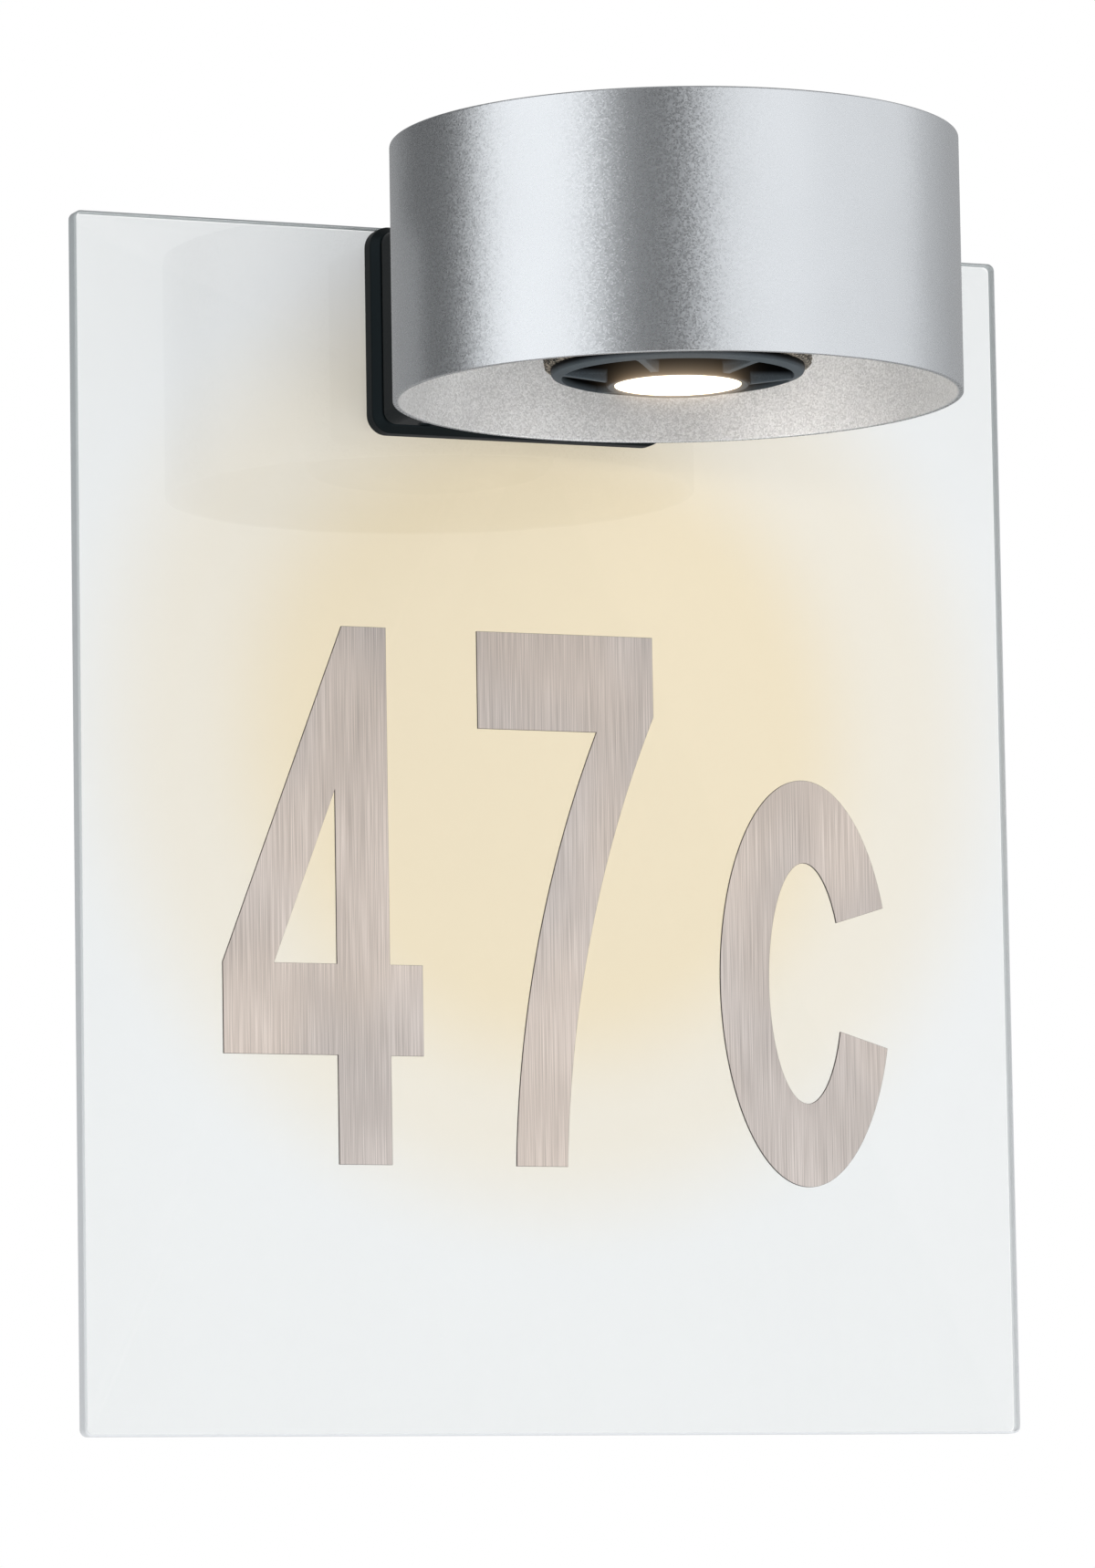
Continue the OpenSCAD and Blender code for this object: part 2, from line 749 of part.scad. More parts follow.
module ceiling_plate() {
    color(silver) on_axis(ceiling_z) difference() {
        cylinder(h = ceiling_t, r = plate_edge_r, $fn = 180);
        translate([0, 0, -1]) cylinder(h = ceiling_t + 2, r = cup_r1 + 0.3);
        for (a = boss_angles) {
            rotate([0, 0, a]) translate([boss_ring, 0, -1])
                cylinder(h = ceiling_t + 2, r = small_d / 2 + screw_gap);
            rotate([0, 0, a + 60]) translate([cup_screw_ring, 0, -1])
                cylinder(h = ceiling_t + 2, r = small_d / 2 + thread_gap);
        }
        rotate([0, 0, 60]) translate([earth_ring, 0, -1])
            cylinder(h = ceiling_t + 2, r = small_d / 2 + thread_gap);
    }
}

module ceiling_seal() {
    color(rubber) on_axis(ceiling_top) difference() {
        cylinder(h = ledge_z - ceiling_top, r = plate_edge_r);
        translate([0, 0, -1]) cylinder(h = ledge_z - ceiling_top + 2, r = inner_r - ledge_w + 0.1);
    }
}

module ceiling_screws() {
    color(steel) for (a = boss_angles) {
        on_axis(ceiling_z) rotate([0, 0, a]) translate([boss_ring, 0, 0])
            screw(small_d, ceiling_t + ceiling_grip, small_head_r, small_head_h);
    }
}

module lamp_cup() {
    roof_z = roof_top - roof_t;
    color(black) on_axis(0) difference() {
        rotate_extrude()
            polygon([[cup_r0, cup_foot], [cup_r1 - 0.6, cup_foot], [cup_r1, cup_foot + 0.6],
                [cup_r1, ceiling_top], [cup_flange_r, ceiling_top],
                [cup_flange_r, ceiling_top + cup_flange_t], [cup_r1, ceiling_top + cup_flange_t],
                [cup_r1, roof_top], [roof_hole_r, roof_top], [roof_hole_r, roof_z], [cup_r0, roof_z]]);
        for (a = boss_angles) {
            rotate([0, 0, a + 60]) translate([cup_screw_ring, 0, ceiling_top - 1])
                cylinder(h = cup_flange_t + 2, r = small_d / 2 + screw_gap);
        }
        for (s = [-1, 1]) {
            translate([s * holder_ear_x, 0, roof_z - 1])
                cylinder(h = roof_t + 2, r = small_d / 2 + thread_gap);
        }
    }
}

module cup_screws() {
    color(steel) for (a = boss_angles) {
        on_axis(ceiling_top + cup_flange_t) rotate([0, 0, a + 60]) translate([cup_screw_ring, 0, 0])
            mirror([0, 0, 1]) screw(small_d, cup_flange_t + ceiling_t, small_head_r, small_head_h);
    }
}

module lamp_seal() {
    color([0.20, 0.16, 0.12]) on_axis(cup_foot - lamp_seal_t) rotate_extrude()
        polygon([[skirt_r + 0.3, 0], [cup_r1 - 1.4, 0], [cup_r1 - 0.8, lamp_seal_t / 2],
            [cup_r1 - 1.1, lamp_seal_t], [skirt_r + 0.3, lamp_seal_t]]);
}

// A curved slot that a pin follows when the lamp turns, widened by r to each side
module pin_track(r, h) {
    for (side = [0, 180]) {
        rotate([0, 0, side - turn]) {
            rotate_extrude(angle = turn) translate([pin_pitch / 2 - r, 0]) square([2 * r, h]);
            translate([pin_pitch / 2, 0, 0]) cylinder(h = h, r = r);
        }
        rotate([0, 0, side]) translate([pin_pitch / 2, 0, 0]) cylinder(h = h, r = r);
    }
}

module lamp_holder() {
    color([0.90, 0.88, 0.84]) on_axis(roof_top) difference() {
        union() {
            cylinder(h = holder_h, r = holder_r);
            for (s = [-1, 1]) {
                translate([s * holder_ear_x, 0, 0]) cylinder(h = holder_ear_t, r = holder_ear_r);
            }
        }
        translate([0, 0, -1]) pin_track(pin_r + slot_gap, lip_t + 1 + eps);
        translate([0, 0, lip_t]) pin_track(pin_head_r + slot_gap, pocket_top - roof_top - lip_t);
        for (side = [0, 180]) {
            rotate([0, 0, side - turn]) translate([pin_pitch / 2, 0, -1])
                cylinder(h = lip_t + 2, r = pin_head_r + slot_gap);
            rotate([0, 0, side - turn / 2]) translate([pin_pitch / 2, 0, 0])
                cylinder(h = holder_h + 1, r = contact_r + thread_gap);
        }
        for (s = [-1, 1]) {
            translate([s * holder_ear_x, 0, -1])
                cylinder(h = holder_ear_t + 2, r = small_d / 2 + screw_gap);
        }
    }
}

module holder_screws() {
    color(steel) for (s = [-1, 1]) {
        on_axis(roof_top + holder_ear_t) translate([s * holder_ear_x, 0, 0])
            mirror([0, 0, 1]) screw(small_d, holder_ear_t + roof_t, small_head_r, small_head_h);
    }
}

module holder_contacts() {
    color([0.80, 0.66, 0.40]) on_axis(0) for (side = [0, 180]) {
        rotate([0, 0, side - turn]) translate([0, 0, pocket_top - contact_t])
            rotate_extrude(angle = turn) translate([pin_pitch / 2 - pin_head_r, 0])
                square([2 * pin_head_r, contact_t]);
        rotate([0, 0, side - turn / 2]) translate([pin_pitch / 2, 0, pocket_top - contact_t])
            cylinder(h = contact_top - pocket_top + contact_t, r = contact_r);
    }
}

function unit(v) = v / norm(v);
// A point on the smooth curve between p1 and p2
function between(p0, p1, p2, p3, t) = 0.5 * (2 * p1 + (p2 - p0) * t
    + (2 * p0 - 5 * p1 + 4 * p2 - p3) * t * t + (3 * p1 - p0 - 3 * p2 + p3) * t * t * t);
function smooth(p) = concat([for (i = [0:len(p) - 2]) for (k = [0:lead_steps - 1])
    between(p[max(i - 1, 0)], p[i], p[i + 1], p[min(i + 2, len(p) - 1)], k / lead_steps)],
    [p[len(p) - 1]]);
function heading(p, i) = unit(p[min(i + 1, len(p) - 1)] - p[max(i - 1, 0)]);
function square_to(u, t) = unit(u - (u * t) * t);
// One sideways direction for each ring, carried along the route without a twist
function carried(p, i, u) = i == len(p) ? [] : let (s = square_to(u, heading(p, i)))
    concat([s], carried(p, i + 1, s));

// A round lead along a smooth route through its points
module lead(points) {
    n = lead_sides;
    p = smooth(points);
    u = carried(p, 0, [1, 0.3, 0.2]);
    last = len(p) - 1;
    rings = [for (i = [0:last]) for (k = [0:n - 1]) let (t = heading(p, i), a = 360 * k / n)
        p[i] + lead_r * (cos(a) * u[i] + sin(a) * cross(t, u[i]))];
    sides = [for (i = [0:last - 1]) for (k = [0:n - 1]) let (a = i * n + k, b = i * n + (k + 1) % n)
        each [[a, a + n, b], [b, a + n, b + n]]];
    polyhedron(rings, concat([[for (k = [0:n - 1]) k]], sides,
        [[for (k = [0:n - 1]) last * n + n - 1 - k]]));
}

// A point on the line of the wire entry, at a distance from the head's axis
function entry_at(r, z) = [axis_x - r * sin(wire_turn), axis_y + r * cos(wire_turn), z];
// The part of a lead's route from inside the head to a pole of the terminal block.
// The leads pass the grommet one above the other. Each turns down left of the one below it,
// and all of them pass right of the upper clamp screw.
function lead_tail(pole) = let (z = entry_z + pole * lead_step, back = panel_front - floor_t,
    x0 = entry_at(saddle_r1, z)[0], turn_x = x0 - 5 - 2.2 * pole, z1 = pole * pole_h) [
    entry_at(inner_r - 6, z),
    entry_at(saddle_r0, z),
    [x0 - 0.4, back - 3.2, z - 0.1],
    [x0 - 2.2 - pole * 0.6, back - 1.9, z - 0.8 + 0.5 * pole],
    [turn_x + 0.6, back - 1.8, (z + z1) / 2 + 3],
    [turn_x - 0.9, back - 1.8, z1 + 3],
    [turn_x - 3.5, back - 1.9, z1 + 0.5],
    [block_x1 + 8, back - 2.4, z1],
    [block_x1 + 2, terminal_y(entry_row), z1],
    [block_x0 + 5, terminal_y(entry_row), z1]];

module holder_leads() {
    color([0.45, 0.28, 0.18]) for (pole = [0, 1]) {
        a = (1 - pole) * 180 - turn / 2;
        x = axis_x + cos(a) * pin_pitch / 2;
        y = axis_y + sin(a) * pin_pitch / 2;
        side = pole == 1 ? 1 : -1;
        lead(concat([[x, y, contact_top], [x, y, contact_top + 0.7], [x, y, contact_top + 1.4],
            [x, y + lead_run / 5, contact_top + 2.8], [x, y + lead_run, contact_top + 1.6],
            [axis_x + side * 3, axis_y + inner_r - lead_slack, entry_z + 3 + 2 * pole]],
            lead_tail(pole)));
    }
}

module earth_lead() {
    x = axis_x + cos(60) * earth_ring;
    y = axis_y + sin(60) * earth_ring;
    z = ceiling_top + ring_t / 2 + lead_r;
    color([0.45, 0.62, 0.22]) {
        lead(concat([[x - ring_r + 0.4, y - 1, z], [x - 2 * ring_r + 0.2, y - 2.5, z + 1],
            [axis_x + small_head_r * 3, axis_y + inner_r - lead_slack + 1, entry_z - 4]],
            lead_tail(-1)));
        translate([x, y, ceiling_top]) difference() {
            cylinder(h = ring_t, r = ring_r);
            translate([0, 0, -1]) cylinder(h = ring_t + 2, r = small_d / 2 + screw_gap);
        }
    }
}

module earth_screw() {
    color(steel) on_axis(ceiling_top + ring_t) rotate([0, 0, 60]) translate([earth_ring, 0, 0])
        mirror([0, 0, 1]) screw(small_d, ceiling_t + ring_t, small_head_r, small_head_h);
}

// The lamp's front ring, its hub around the lens and the spokes between them
module lamp_bezel() {
    band_drop = 0.6;
    hub_foot = rim_z - lens_drop + 0.2;
    hub_top = rim_z + hub_high;
    hub_bore = lens_r + 0.1;
    skirt_top = rim_z + skirt_high;
    skirt_in = skirt_r - 1.2;
    color(black) on_axis(0) {
        rotate_extrude()
            polygon([[band_r, rim_z - band_drop], [bezel_r - 0.5, rim_z], [bezel_r, rim_z + 0.4],
                [bezel_r, rim_z + bezel_t], [skirt_r, rim_z + bezel_t], [skirt_r, skirt_top],
                [skirt_in, skirt_top], [skirt_in, rim_z + 1.6], [band_r, rim_z + 1]]);
        rotate_extrude()
            polygon([[hub_bore, hub_foot + 0.2], [hub_r - 0.5, hub_foot], [hub_r, hub_foot + 0.5],
                [hub_r, hub_top], [hub_bore, hub_top]]);
        for (i = [0:spokes - 1]) {
            rotate([0, 0, spoke_angle + 360 * i / spokes]) translate([0, spoke_t / 2, 0])
                rotate([90, 0, 0]) linear_extrude(spoke_t)
                    polygon([[hub_r - 0.6, hub_foot + 0.6], [band_r + 0.4, rim_z - band_drop + 0.1],
                        [band_r + 0.4, rim_z + 2], [hub_r - 0.6, rim_z + 3]]);
        }
    }
}

module lamp_lens() {
    crown = 0.5;
    foot = rim_z - lens_drop;
    edge_z = foot + 3.4;
    tip_z = chip_z - 0.3;
    tip_r = 5.6;
    dome_r = (pow(lens_r, 2) + pow(crown, 2)) / (2 * crown);
    half = asin(lens_r / dome_r);
    color([0.97, 0.95, 0.90, 0.8]) on_axis(0) rotate_extrude()
        polygon(concat(
            [for (i = [0:8]) let (a = half * i / 8) [dome_r * sin(a), foot + dome_r * (1 - cos(a))]],
            [[lens_r, edge_z], [lens_r - 1, edge_z + 0.4], [tip_r, tip_z], [0, tip_z]]));
}

module heat_sink() {
    fin_r = skirt_r - 1.6;
    fin_t = 1;
    fin_foot = sink_foot + 0.4;
    plate_z = sink_top - sink_plate_t;
    color([0.23, 0.24, 0.25]) on_axis(0) {
        difference() {
            union() {
                translate([0, 0, sink_foot]) cylinder(h = sink_top - sink_foot, r = sink_core_r);
                translate([0, 0, plate_z]) cylinder(h = sink_plate_t, r = fin_r + 0.3);
                for (i = [0:fins - 1]) {
                    rotate([0, 0, 360 * (i + 0.5) / fins]) translate([sink_core_r - 1, -fin_t / 2, fin_foot])
                        cube([fin_r - sink_core_r + 1, fin_t, plate_z + 1 - fin_foot]);
                }
            }
            translate([0, 0, sink_foot - 1])
                cylinder(h = sink_top - sink_plate_t - sink_foot + 1, r = lens_r + 0.2);
        }
    }
}

module led_board() {
    color([0.92, 0.92, 0.90]) on_axis(chip_z + chip_t) cylinder(h = board_t, r = lens_r - 0.4);
}

module led_chip() {
    color([0.95, 0.80, 0.30]) on_axis(chip_z) cylinder(h = chip_t, r = 5);
}

module lamp_cap() {
    shoulder = sink_top + 2.2;
    neck_foot = cap_top - neck_h - 0.4;
    cap_floor = cap_top - cap_wall;
    color([0.20, 0.20, 0.21]) on_axis(0) difference() {
        rotate_extrude()
            polygon([[cap_r - 4, sink_top], [cap_r, sink_top], [cap_r, sink_top + 2.5],
                [neck_r + 1.2, neck_foot], [neck_r, neck_foot], [neck_r, cap_top - 0.4],
                [neck_r - 0.4, cap_top], [0, cap_top], [0, cap_floor], [neck_r - 2, cap_floor],
                [cap_r - 6, shoulder], [cap_r - 4, shoulder]]);
        for (s = [-1, 1]) {
            translate([s * pin_pitch / 2, 0, cap_floor - 1])
                cylinder(h = cap_wall + 2, r = pin_r + thread_gap);
        }
    }
}

// The lamp's own supply, on a round board under the cap's shoulder
module driver_board() {
    t = 1.2;
    z = sink_top + 1;
    room = cap_top - cap_wall - z - t;
    color([0.20, 0.42, 0.28]) on_axis(z) {
        cylinder(h = t, r = cap_r - 4.3);
        translate([-6, -4, t - eps]) cube([5, 8, room * 0.8]);
        translate([3, 0, t - eps]) cylinder(h = room * 0.9, r = 3);
    }
}

module contact_pins() {
    color(steel) for (s = [-1, 1]) {
        on_axis(cap_top) translate([s * pin_pitch / 2, 0, 0]) {
            translate([0, 0, -cap_wall]) cylinder(h = cap_wall + pin_neck_h, r = pin_r);
            translate([0, 0, pin_neck_h]) cylinder(h = pin_head_h, r = pin_head_r);
        }
    }
}

number_panel();
satin_film();
digit_four();
digit_seven();
letter_c();
panel_buffers();
wall_plate();
wall_seal();
cable_grommet();
panel_seal();
bracket();
bracket_seal();
clamp_screws();
terminal_block();
saddle();
grub_screws();
saddle_seal();
head_screws();
head_grommet();
lamp_head();
ceiling_plate();
ceiling_seal();
ceiling_screws();
lamp_cup();
cup_screws();
lamp_seal();
lamp_holder();
holder_screws();
holder_contacts();
holder_leads();
earth_lead();
earth_screw();
lamp_bezel();
lamp_lens();
heat_sink();
led_board();
led_chip();
lamp_cap();
driver_board();
contact_pins();
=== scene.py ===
import bpy
import bmesh
import json
import math
import numpy as np
from mathutils import Matrix, Vector


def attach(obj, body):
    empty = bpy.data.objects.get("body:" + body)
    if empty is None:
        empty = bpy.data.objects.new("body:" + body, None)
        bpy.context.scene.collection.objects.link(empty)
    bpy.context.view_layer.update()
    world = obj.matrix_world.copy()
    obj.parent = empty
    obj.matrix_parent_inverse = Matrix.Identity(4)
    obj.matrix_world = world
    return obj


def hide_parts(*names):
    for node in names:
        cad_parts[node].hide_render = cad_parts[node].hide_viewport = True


# Outdoor wall light: a silver drum on a black bracket in front of a house number panel.
# The dictionaries hold millimetres, and buildPiece turns them into metres.

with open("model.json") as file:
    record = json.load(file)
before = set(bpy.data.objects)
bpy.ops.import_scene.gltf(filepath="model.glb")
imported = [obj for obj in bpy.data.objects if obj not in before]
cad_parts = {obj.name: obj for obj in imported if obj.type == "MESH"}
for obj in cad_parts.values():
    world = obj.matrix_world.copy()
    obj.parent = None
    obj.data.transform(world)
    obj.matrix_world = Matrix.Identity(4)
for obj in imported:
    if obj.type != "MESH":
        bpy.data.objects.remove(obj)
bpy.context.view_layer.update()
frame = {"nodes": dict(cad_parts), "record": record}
record = frame["record"]
bodyOf = {node: body for body, nodes in record["behaviour"]["bodies"].items() for node in nodes}
slotOf = {part["node"]: part["material_slot"] for part in record["subparts"]}
print("frame loaded with", len(frame["nodes"]), "nodes")

# Places that several pieces share
layout = {
    "axisX": 7.7, "axisY": -80.3,
    "panelFront": -15.3, "panelMiddle": 7.7, "panelFoot": -218.75,
    "headFoot": -21.75, "headRoof": 28.25, "headRadius": 55, "innerRadius": 53.75,
    "ceilingOver": 3.25, "rimHeight": -17.15, "lensRadius": 12.25,
}
lampAxis = (layout["axisX"], layout["axisY"])


# Mesh helpers

def gridFaces(rows, cols, closeRows=True, closeCols=True):
    # four-sided faces between neighbours of a grid of points, counted row by row
    r = np.arange(rows if closeRows else rows - 1)
    c = np.arange(cols if closeCols else cols - 1)
    r, c = np.meshgrid(r, c, indexing="ij")
    r1 = (r + 1) % rows
    c1 = (c + 1) % cols
    faces = np.stack([r * cols + c, r1 * cols + c, r1 * cols + c1, r * cols + c1], -1)
    return faces.reshape(-1, 4)


def roundedPath(corners, radii, steps=6):
    # each corner P becomes the curve (1-t)^2 A + 2t(1-t) P + t^2 B,
    # where A and B lie on its two edges at the distance "radius" from P
    corners = np.asarray(corners, float)
    radii = np.broadcast_to(np.asarray(radii, float), len(corners))[:, None]
    before = np.roll(corners, 1, 0) - corners
    after = np.roll(corners, -1, 0) - corners
    before = before / np.linalg.norm(before, axis=1)[:, None]
    after = after / np.linalg.norm(after, axis=1)[:, None]
    a = (corners + before * radii)[:, None, :]
    b = (corners + after * radii)[:, None, :]
    p = corners[:, None, :]
    t = np.linspace(0, 1, steps)[None, :, None]
    return ((1 - t) ** 2 * a + 2 * t * (1 - t) * p + t ** 2 * b).reshape(-1, 2)


def spin(profile, steps, centre=lampAxis):
    # a point (radius, height) at angle a is (cx + radius cos a, cy + radius sin a, height)
    profile = np.asarray(profile, float)
    a = np.linspace(0, 2 * math.pi, steps, endpoint=False)[:, None]
    r = profile[None, :, 0]
    z = np.broadcast_to(profile[None, :, 1], (steps, len(profile)))
    points = np.stack([centre[0] + r * np.cos(a), centre[1] + r * np.sin(a), z], -1)
    return points.reshape(-1, 3), gridFaces(steps, len(profile))


def turned(points, angle):
    # the points turned about the lamp's upright axis by the angle in degrees:
    # x cos a - y sin a and x sin a + y cos a, counted from the axis
    a = math.radians(angle)
    x = points[:, 0] - lampAxis[0]
    y = points[:, 1] - lampAxis[1]
    return np.stack([lampAxis[0] + x * math.cos(a) - y * math.sin(a),
                     lampAxis[1] + x * math.sin(a) + y * math.cos(a), points[:, 2]], -1)


def standFor(piece, node, material):
    # the piece takes the node's place, its body and its finish
    piece.data.materials.append(material)
    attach(piece, bodyOf[node])
    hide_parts(node)
    return piece


def finishMesh(name, mesh, sharpAngle, bevel=None):
    # the piece made of the mesh, smooth up to the angle, with soft edges where there is a bevel
    mesh.polygons.foreach_set("use_smooth", np.ones(len(mesh.polygons), bool))
    mesh.set_sharp_from_angle(angle=math.radians(sharpAngle))
    piece = bpy.data.objects.new(name, mesh)
    bpy.context.scene.collection.objects.link(piece)
    if bevel:
        edge = piece.modifiers.new("softEdge", "BEVEL")
        edge.width = bevel["width"] / 1000
        edge.segments = bevel["segments"]
        edge.limit_method = "ANGLE"
        edge.angle_limit = math.radians(bevel["above"])
        edge.use_clamp_overlap = False
    even = piece.modifiers.new("evenNormals", "WEIGHTED_NORMAL")
    even.keep_sharp = True
    return piece


def buildPiece(name, shells, sharpAngle=40, bevel=None):
    # shells are pairs of points in millimetres and groups of faces
    starts = np.cumsum([0] + [len(points) for points, groups in shells])
    points = np.concatenate([points for points, groups in shells]) / 1000
    faces = []
    for shell, start in zip(shells, starts):
        groups = shell[1] if isinstance(shell[1], list) else [shell[1]]
        for group in groups:
            faces += (np.atleast_2d(group) + start).tolist()
    mesh = bpy.data.meshes.new(name)
    mesh.from_pydata(points.tolist(), [], faces)
    work = bmesh.new()
    work.from_mesh(mesh)
    bmesh.ops.remove_doubles(work, verts=work.verts, dist=1e-6)
    bmesh.ops.recalc_face_normals(work, faces=work.faces)
    work.to_mesh(mesh)
    work.free()
    return finishMesh(name, mesh, sharpAngle, bevel)


def softened(node, name, width, above, flat=0.4, sharpAngle=50):
    # a merged copy of a CAD node whose corners sharper than "above" degrees are rounded a little
    data = frame["nodes"][node].data
    points = np.empty(len(data.vertices) * 3, np.float32)
    data.vertices.foreach_get("co", points)
    corners = np.empty(len(data.loops), np.int32)
    data.loops.foreach_get("vertex_index", corners)
    mesh = bpy.data.meshes.new(name)
    mesh.from_pydata(points.reshape(-1, 3).tolist(), [], corners.reshape(-1, 3).tolist())
    work = bmesh.new()
    work.from_mesh(mesh)
    bmesh.ops.remove_doubles(work, verts=work.verts, dist=2e-6)
    bmesh.ops.dissolve_limit(work, angle_limit=math.radians(flat), verts=work.verts,
                             edges=work.edges)
    work.to_mesh(mesh)
    work.free()
    return finishMesh(name, mesh, sharpAngle, {"width": width, "segments": 3, "above": above})


# Material helpers

def addNode(tree, kind, options=None, inputs=None):
    # a node with its options set and each input linked or given its value
    made = tree.nodes.new("ShaderNode" + kind)
    for name, value in (options or {}).items():
        setattr(made, name, value)
    for name, value in (inputs or {}).items():
        if isinstance(value, bpy.types.NodeSocket):
            tree.links.new(value, made.inputs[name])
        else:
            made.inputs[name].default_value = value
    return made


def startMaterial(name, constants):
    # the material, its node tree, its main shader and the place on the piece in metres
    material = bpy.data.materials.new(name)
    material.use_nodes = True
    tree = material.node_tree
    shader = tree.nodes["Principled BSDF"]
    for socket, value in constants.items():
        shader.inputs[socket].default_value = value
    place = addNode(tree, "TexCoord").outputs["Object"]
    return material, tree, shader, place


def noiseField(tree, place, size, detail, stretch=(1, 1, 1), rough=0.5):
    # noise whose blobs are about "size" millimetres wide, drawn out by the stretch
    spread = addNode(tree, "Mapping", {"vector_type": "TEXTURE"},
                     {"Vector": place, "Scale": stretch})
    return addNode(tree, "TexNoise", None,
                   {"Vector": spread.outputs[0], "Scale": 1000 / size, "Detail": detail,
                    "Roughness": rough}).outputs[0]


def rampFrom(tree, value, stops, smooth="LINEAR"):
    ramp = addNode(tree, "ValToRGB", None, {"Fac": value})
    ramp.color_ramp.interpolation = smooth
    points = ramp.color_ramp.elements
    while len(points) < len(stops):
        points.new(0.5)
    for point, (where, colour) in zip(points, stops):
        point.position = where
        point.color = (*colour, 1)
    return ramp.outputs[0]


def rangeFrom(tree, value, low, high, fromLow=0.3, fromHigh=0.7):
    # low where the value is fromLow or less, high where it is fromHigh or more
    return addNode(tree, "MapRange", None,
                   {"Value": value, "From Min": fromLow, "From Max": fromHigh,
                    "To Min": low, "To Max": high}).outputs[0]


def combined(tree, kind, a, b):
    return addNode(tree, "Math", {"operation": kind}, {0: a, 1: b}).outputs[0]


def weighted(tree, a, b, share):
    # a times the share, plus b times the rest
    return combined(tree, "ADD", combined(tree, "MULTIPLY", a, share),
                    combined(tree, "MULTIPLY", b, 1 - share))


def blend(tree, factor, a, b):
    # the number a where the factor is 0 and b where it is 1
    return addNode(tree, "Mix", {"data_type": "FLOAT"}, {0: factor, 2: a, 3: b}).outputs[0]


def blendColour(tree, factor, a, b, kind="MIX"):
    options = {"data_type": "RGBA", "blend_type": kind}
    return addNode(tree, "Mix", options, {0: factor, 6: a, 7: b}).outputs[2]


def mixShaders(tree, factor, a, b):
    return addNode(tree, "MixShader", None, {0: factor, 1: a, 2: b}).outputs[0]


def heightOf(tree, place):
    return addNode(tree, "SeparateXYZ", None, {0: place}).outputs["Z"]


def fromAxis(tree, place):
    # distance from the lamp's upright axis, in metres
    level = addNode(tree, "VectorMath", {"operation": "MULTIPLY"}, {0: place, 1: (1, 1, 0)})
    centre = (layout["axisX"] / 1000, layout["axisY"] / 1000, 0)
    return addNode(tree, "VectorMath", {"operation": "DISTANCE"},
                   {0: level.outputs[0], 1: centre}).outputs["Value"]


def sideShare(tree, away=0.74, along=0.95):
    # 1 on edges and chamfers, whose normal has less than "away" of the Y axis in it,
    # and 0 on front and back, whose normal has more than "along"
    normal = addNode(tree, "TexCoord").outputs["Normal"]
    towards = addNode(tree, "SeparateXYZ", None, {0: normal}).outputs["Y"]
    return rangeFrom(tree, combined(tree, "ABSOLUTE", towards, 0.0), 1.0, 0.0, away, along)


def shades(colour, spread):
    # a darker and a lighter neighbour of a colour, a share "spread" away
    low = [max(c * (1 - spread), 0) for c in colour]
    high = [min(c * (1 + spread), 1) for c in colour]
    return [(0.3, low), (0.5, colour), (0.7, high)]


def bumpFrom(tree, shader, height, depth):
    bump = addNode(tree, "Bump", None, {"Height": height, "Distance": depth / 1000})
    tree.links.new(bump.outputs[0], shader.inputs["Normal"])


def recessShadeShare(tree, place, look):
    # painted shade: 1 well above the lamp's foot and on the outside of its hub, 0 on its front
    low, high = [(layout["rimHeight"] + over) / 1000 for over in look["recessShadeHeights"]]
    above = rangeFrom(tree, heightOf(tree, place), 0.0, 1.0, low, high)
    hubFrom, hubFull, hubTo, hubEnd = [radius / 1000 for radius in look["hubWall"]]
    away = fromAxis(tree, place)
    hub = combined(tree, "MULTIPLY", rangeFrom(tree, away, 0.0, 1.0, hubFrom, hubFull),
                   rangeFrom(tree, away, 1.0, 0.0, hubTo, hubEnd))
    return combined(tree, "MAXIMUM", above, hub)


def grainedMaterial(name, look, fineShare=0.65):
    # base colour, roughness and bump all follow two noises, one fine and one broad
    material, tree, shader, place = startMaterial(name, look.get("constants", {}))
    fine = noiseField(tree, place, look["grain"], 3)
    broad = noiseField(tree, place, look["cloud"], 2)
    both = weighted(tree, fine, broad, fineShare)
    colour = rampFrom(tree, both, shades(look["colour"], look["spread"]))
    # painted shade darkens the recess above the lamp's foot and the hub's outer wall
    if "recessShadeHeights" in look:
        colour = blendColour(tree, recessShadeShare(tree, place, look), colour,
                             (*look["recessShadeColour"], 1))
    tree.links.new(colour, shader.inputs["Base Color"])
    tree.links.new(rangeFrom(tree, both, *look["roughness"]), shader.inputs["Roughness"])
    bumpFrom(tree, shader, fine, look["bump"])
    return material


# Finishes

silverLook = {
    "colour": (0.60, 0.622, 0.648), "spread": 0.035, "flake": 0.27, "flakeShare": 0.4,
    "tilt": 0.072, "peel": 1.6, "bump": 0.004, "cloud": 22, "roughness": (0.27, 0.32),
    # the lighter inside colour is painted light; the inside's roughness and metal make it matt
    "metal": 0.9, "inside": (0.72, 0.724, 0.728), "insideSpread": 0.2,
    "insideRoughness": 0.40, "insideMetal": 0.6, "pastWall": (0.1, 0.4), "underRoof": (2, 1),
}


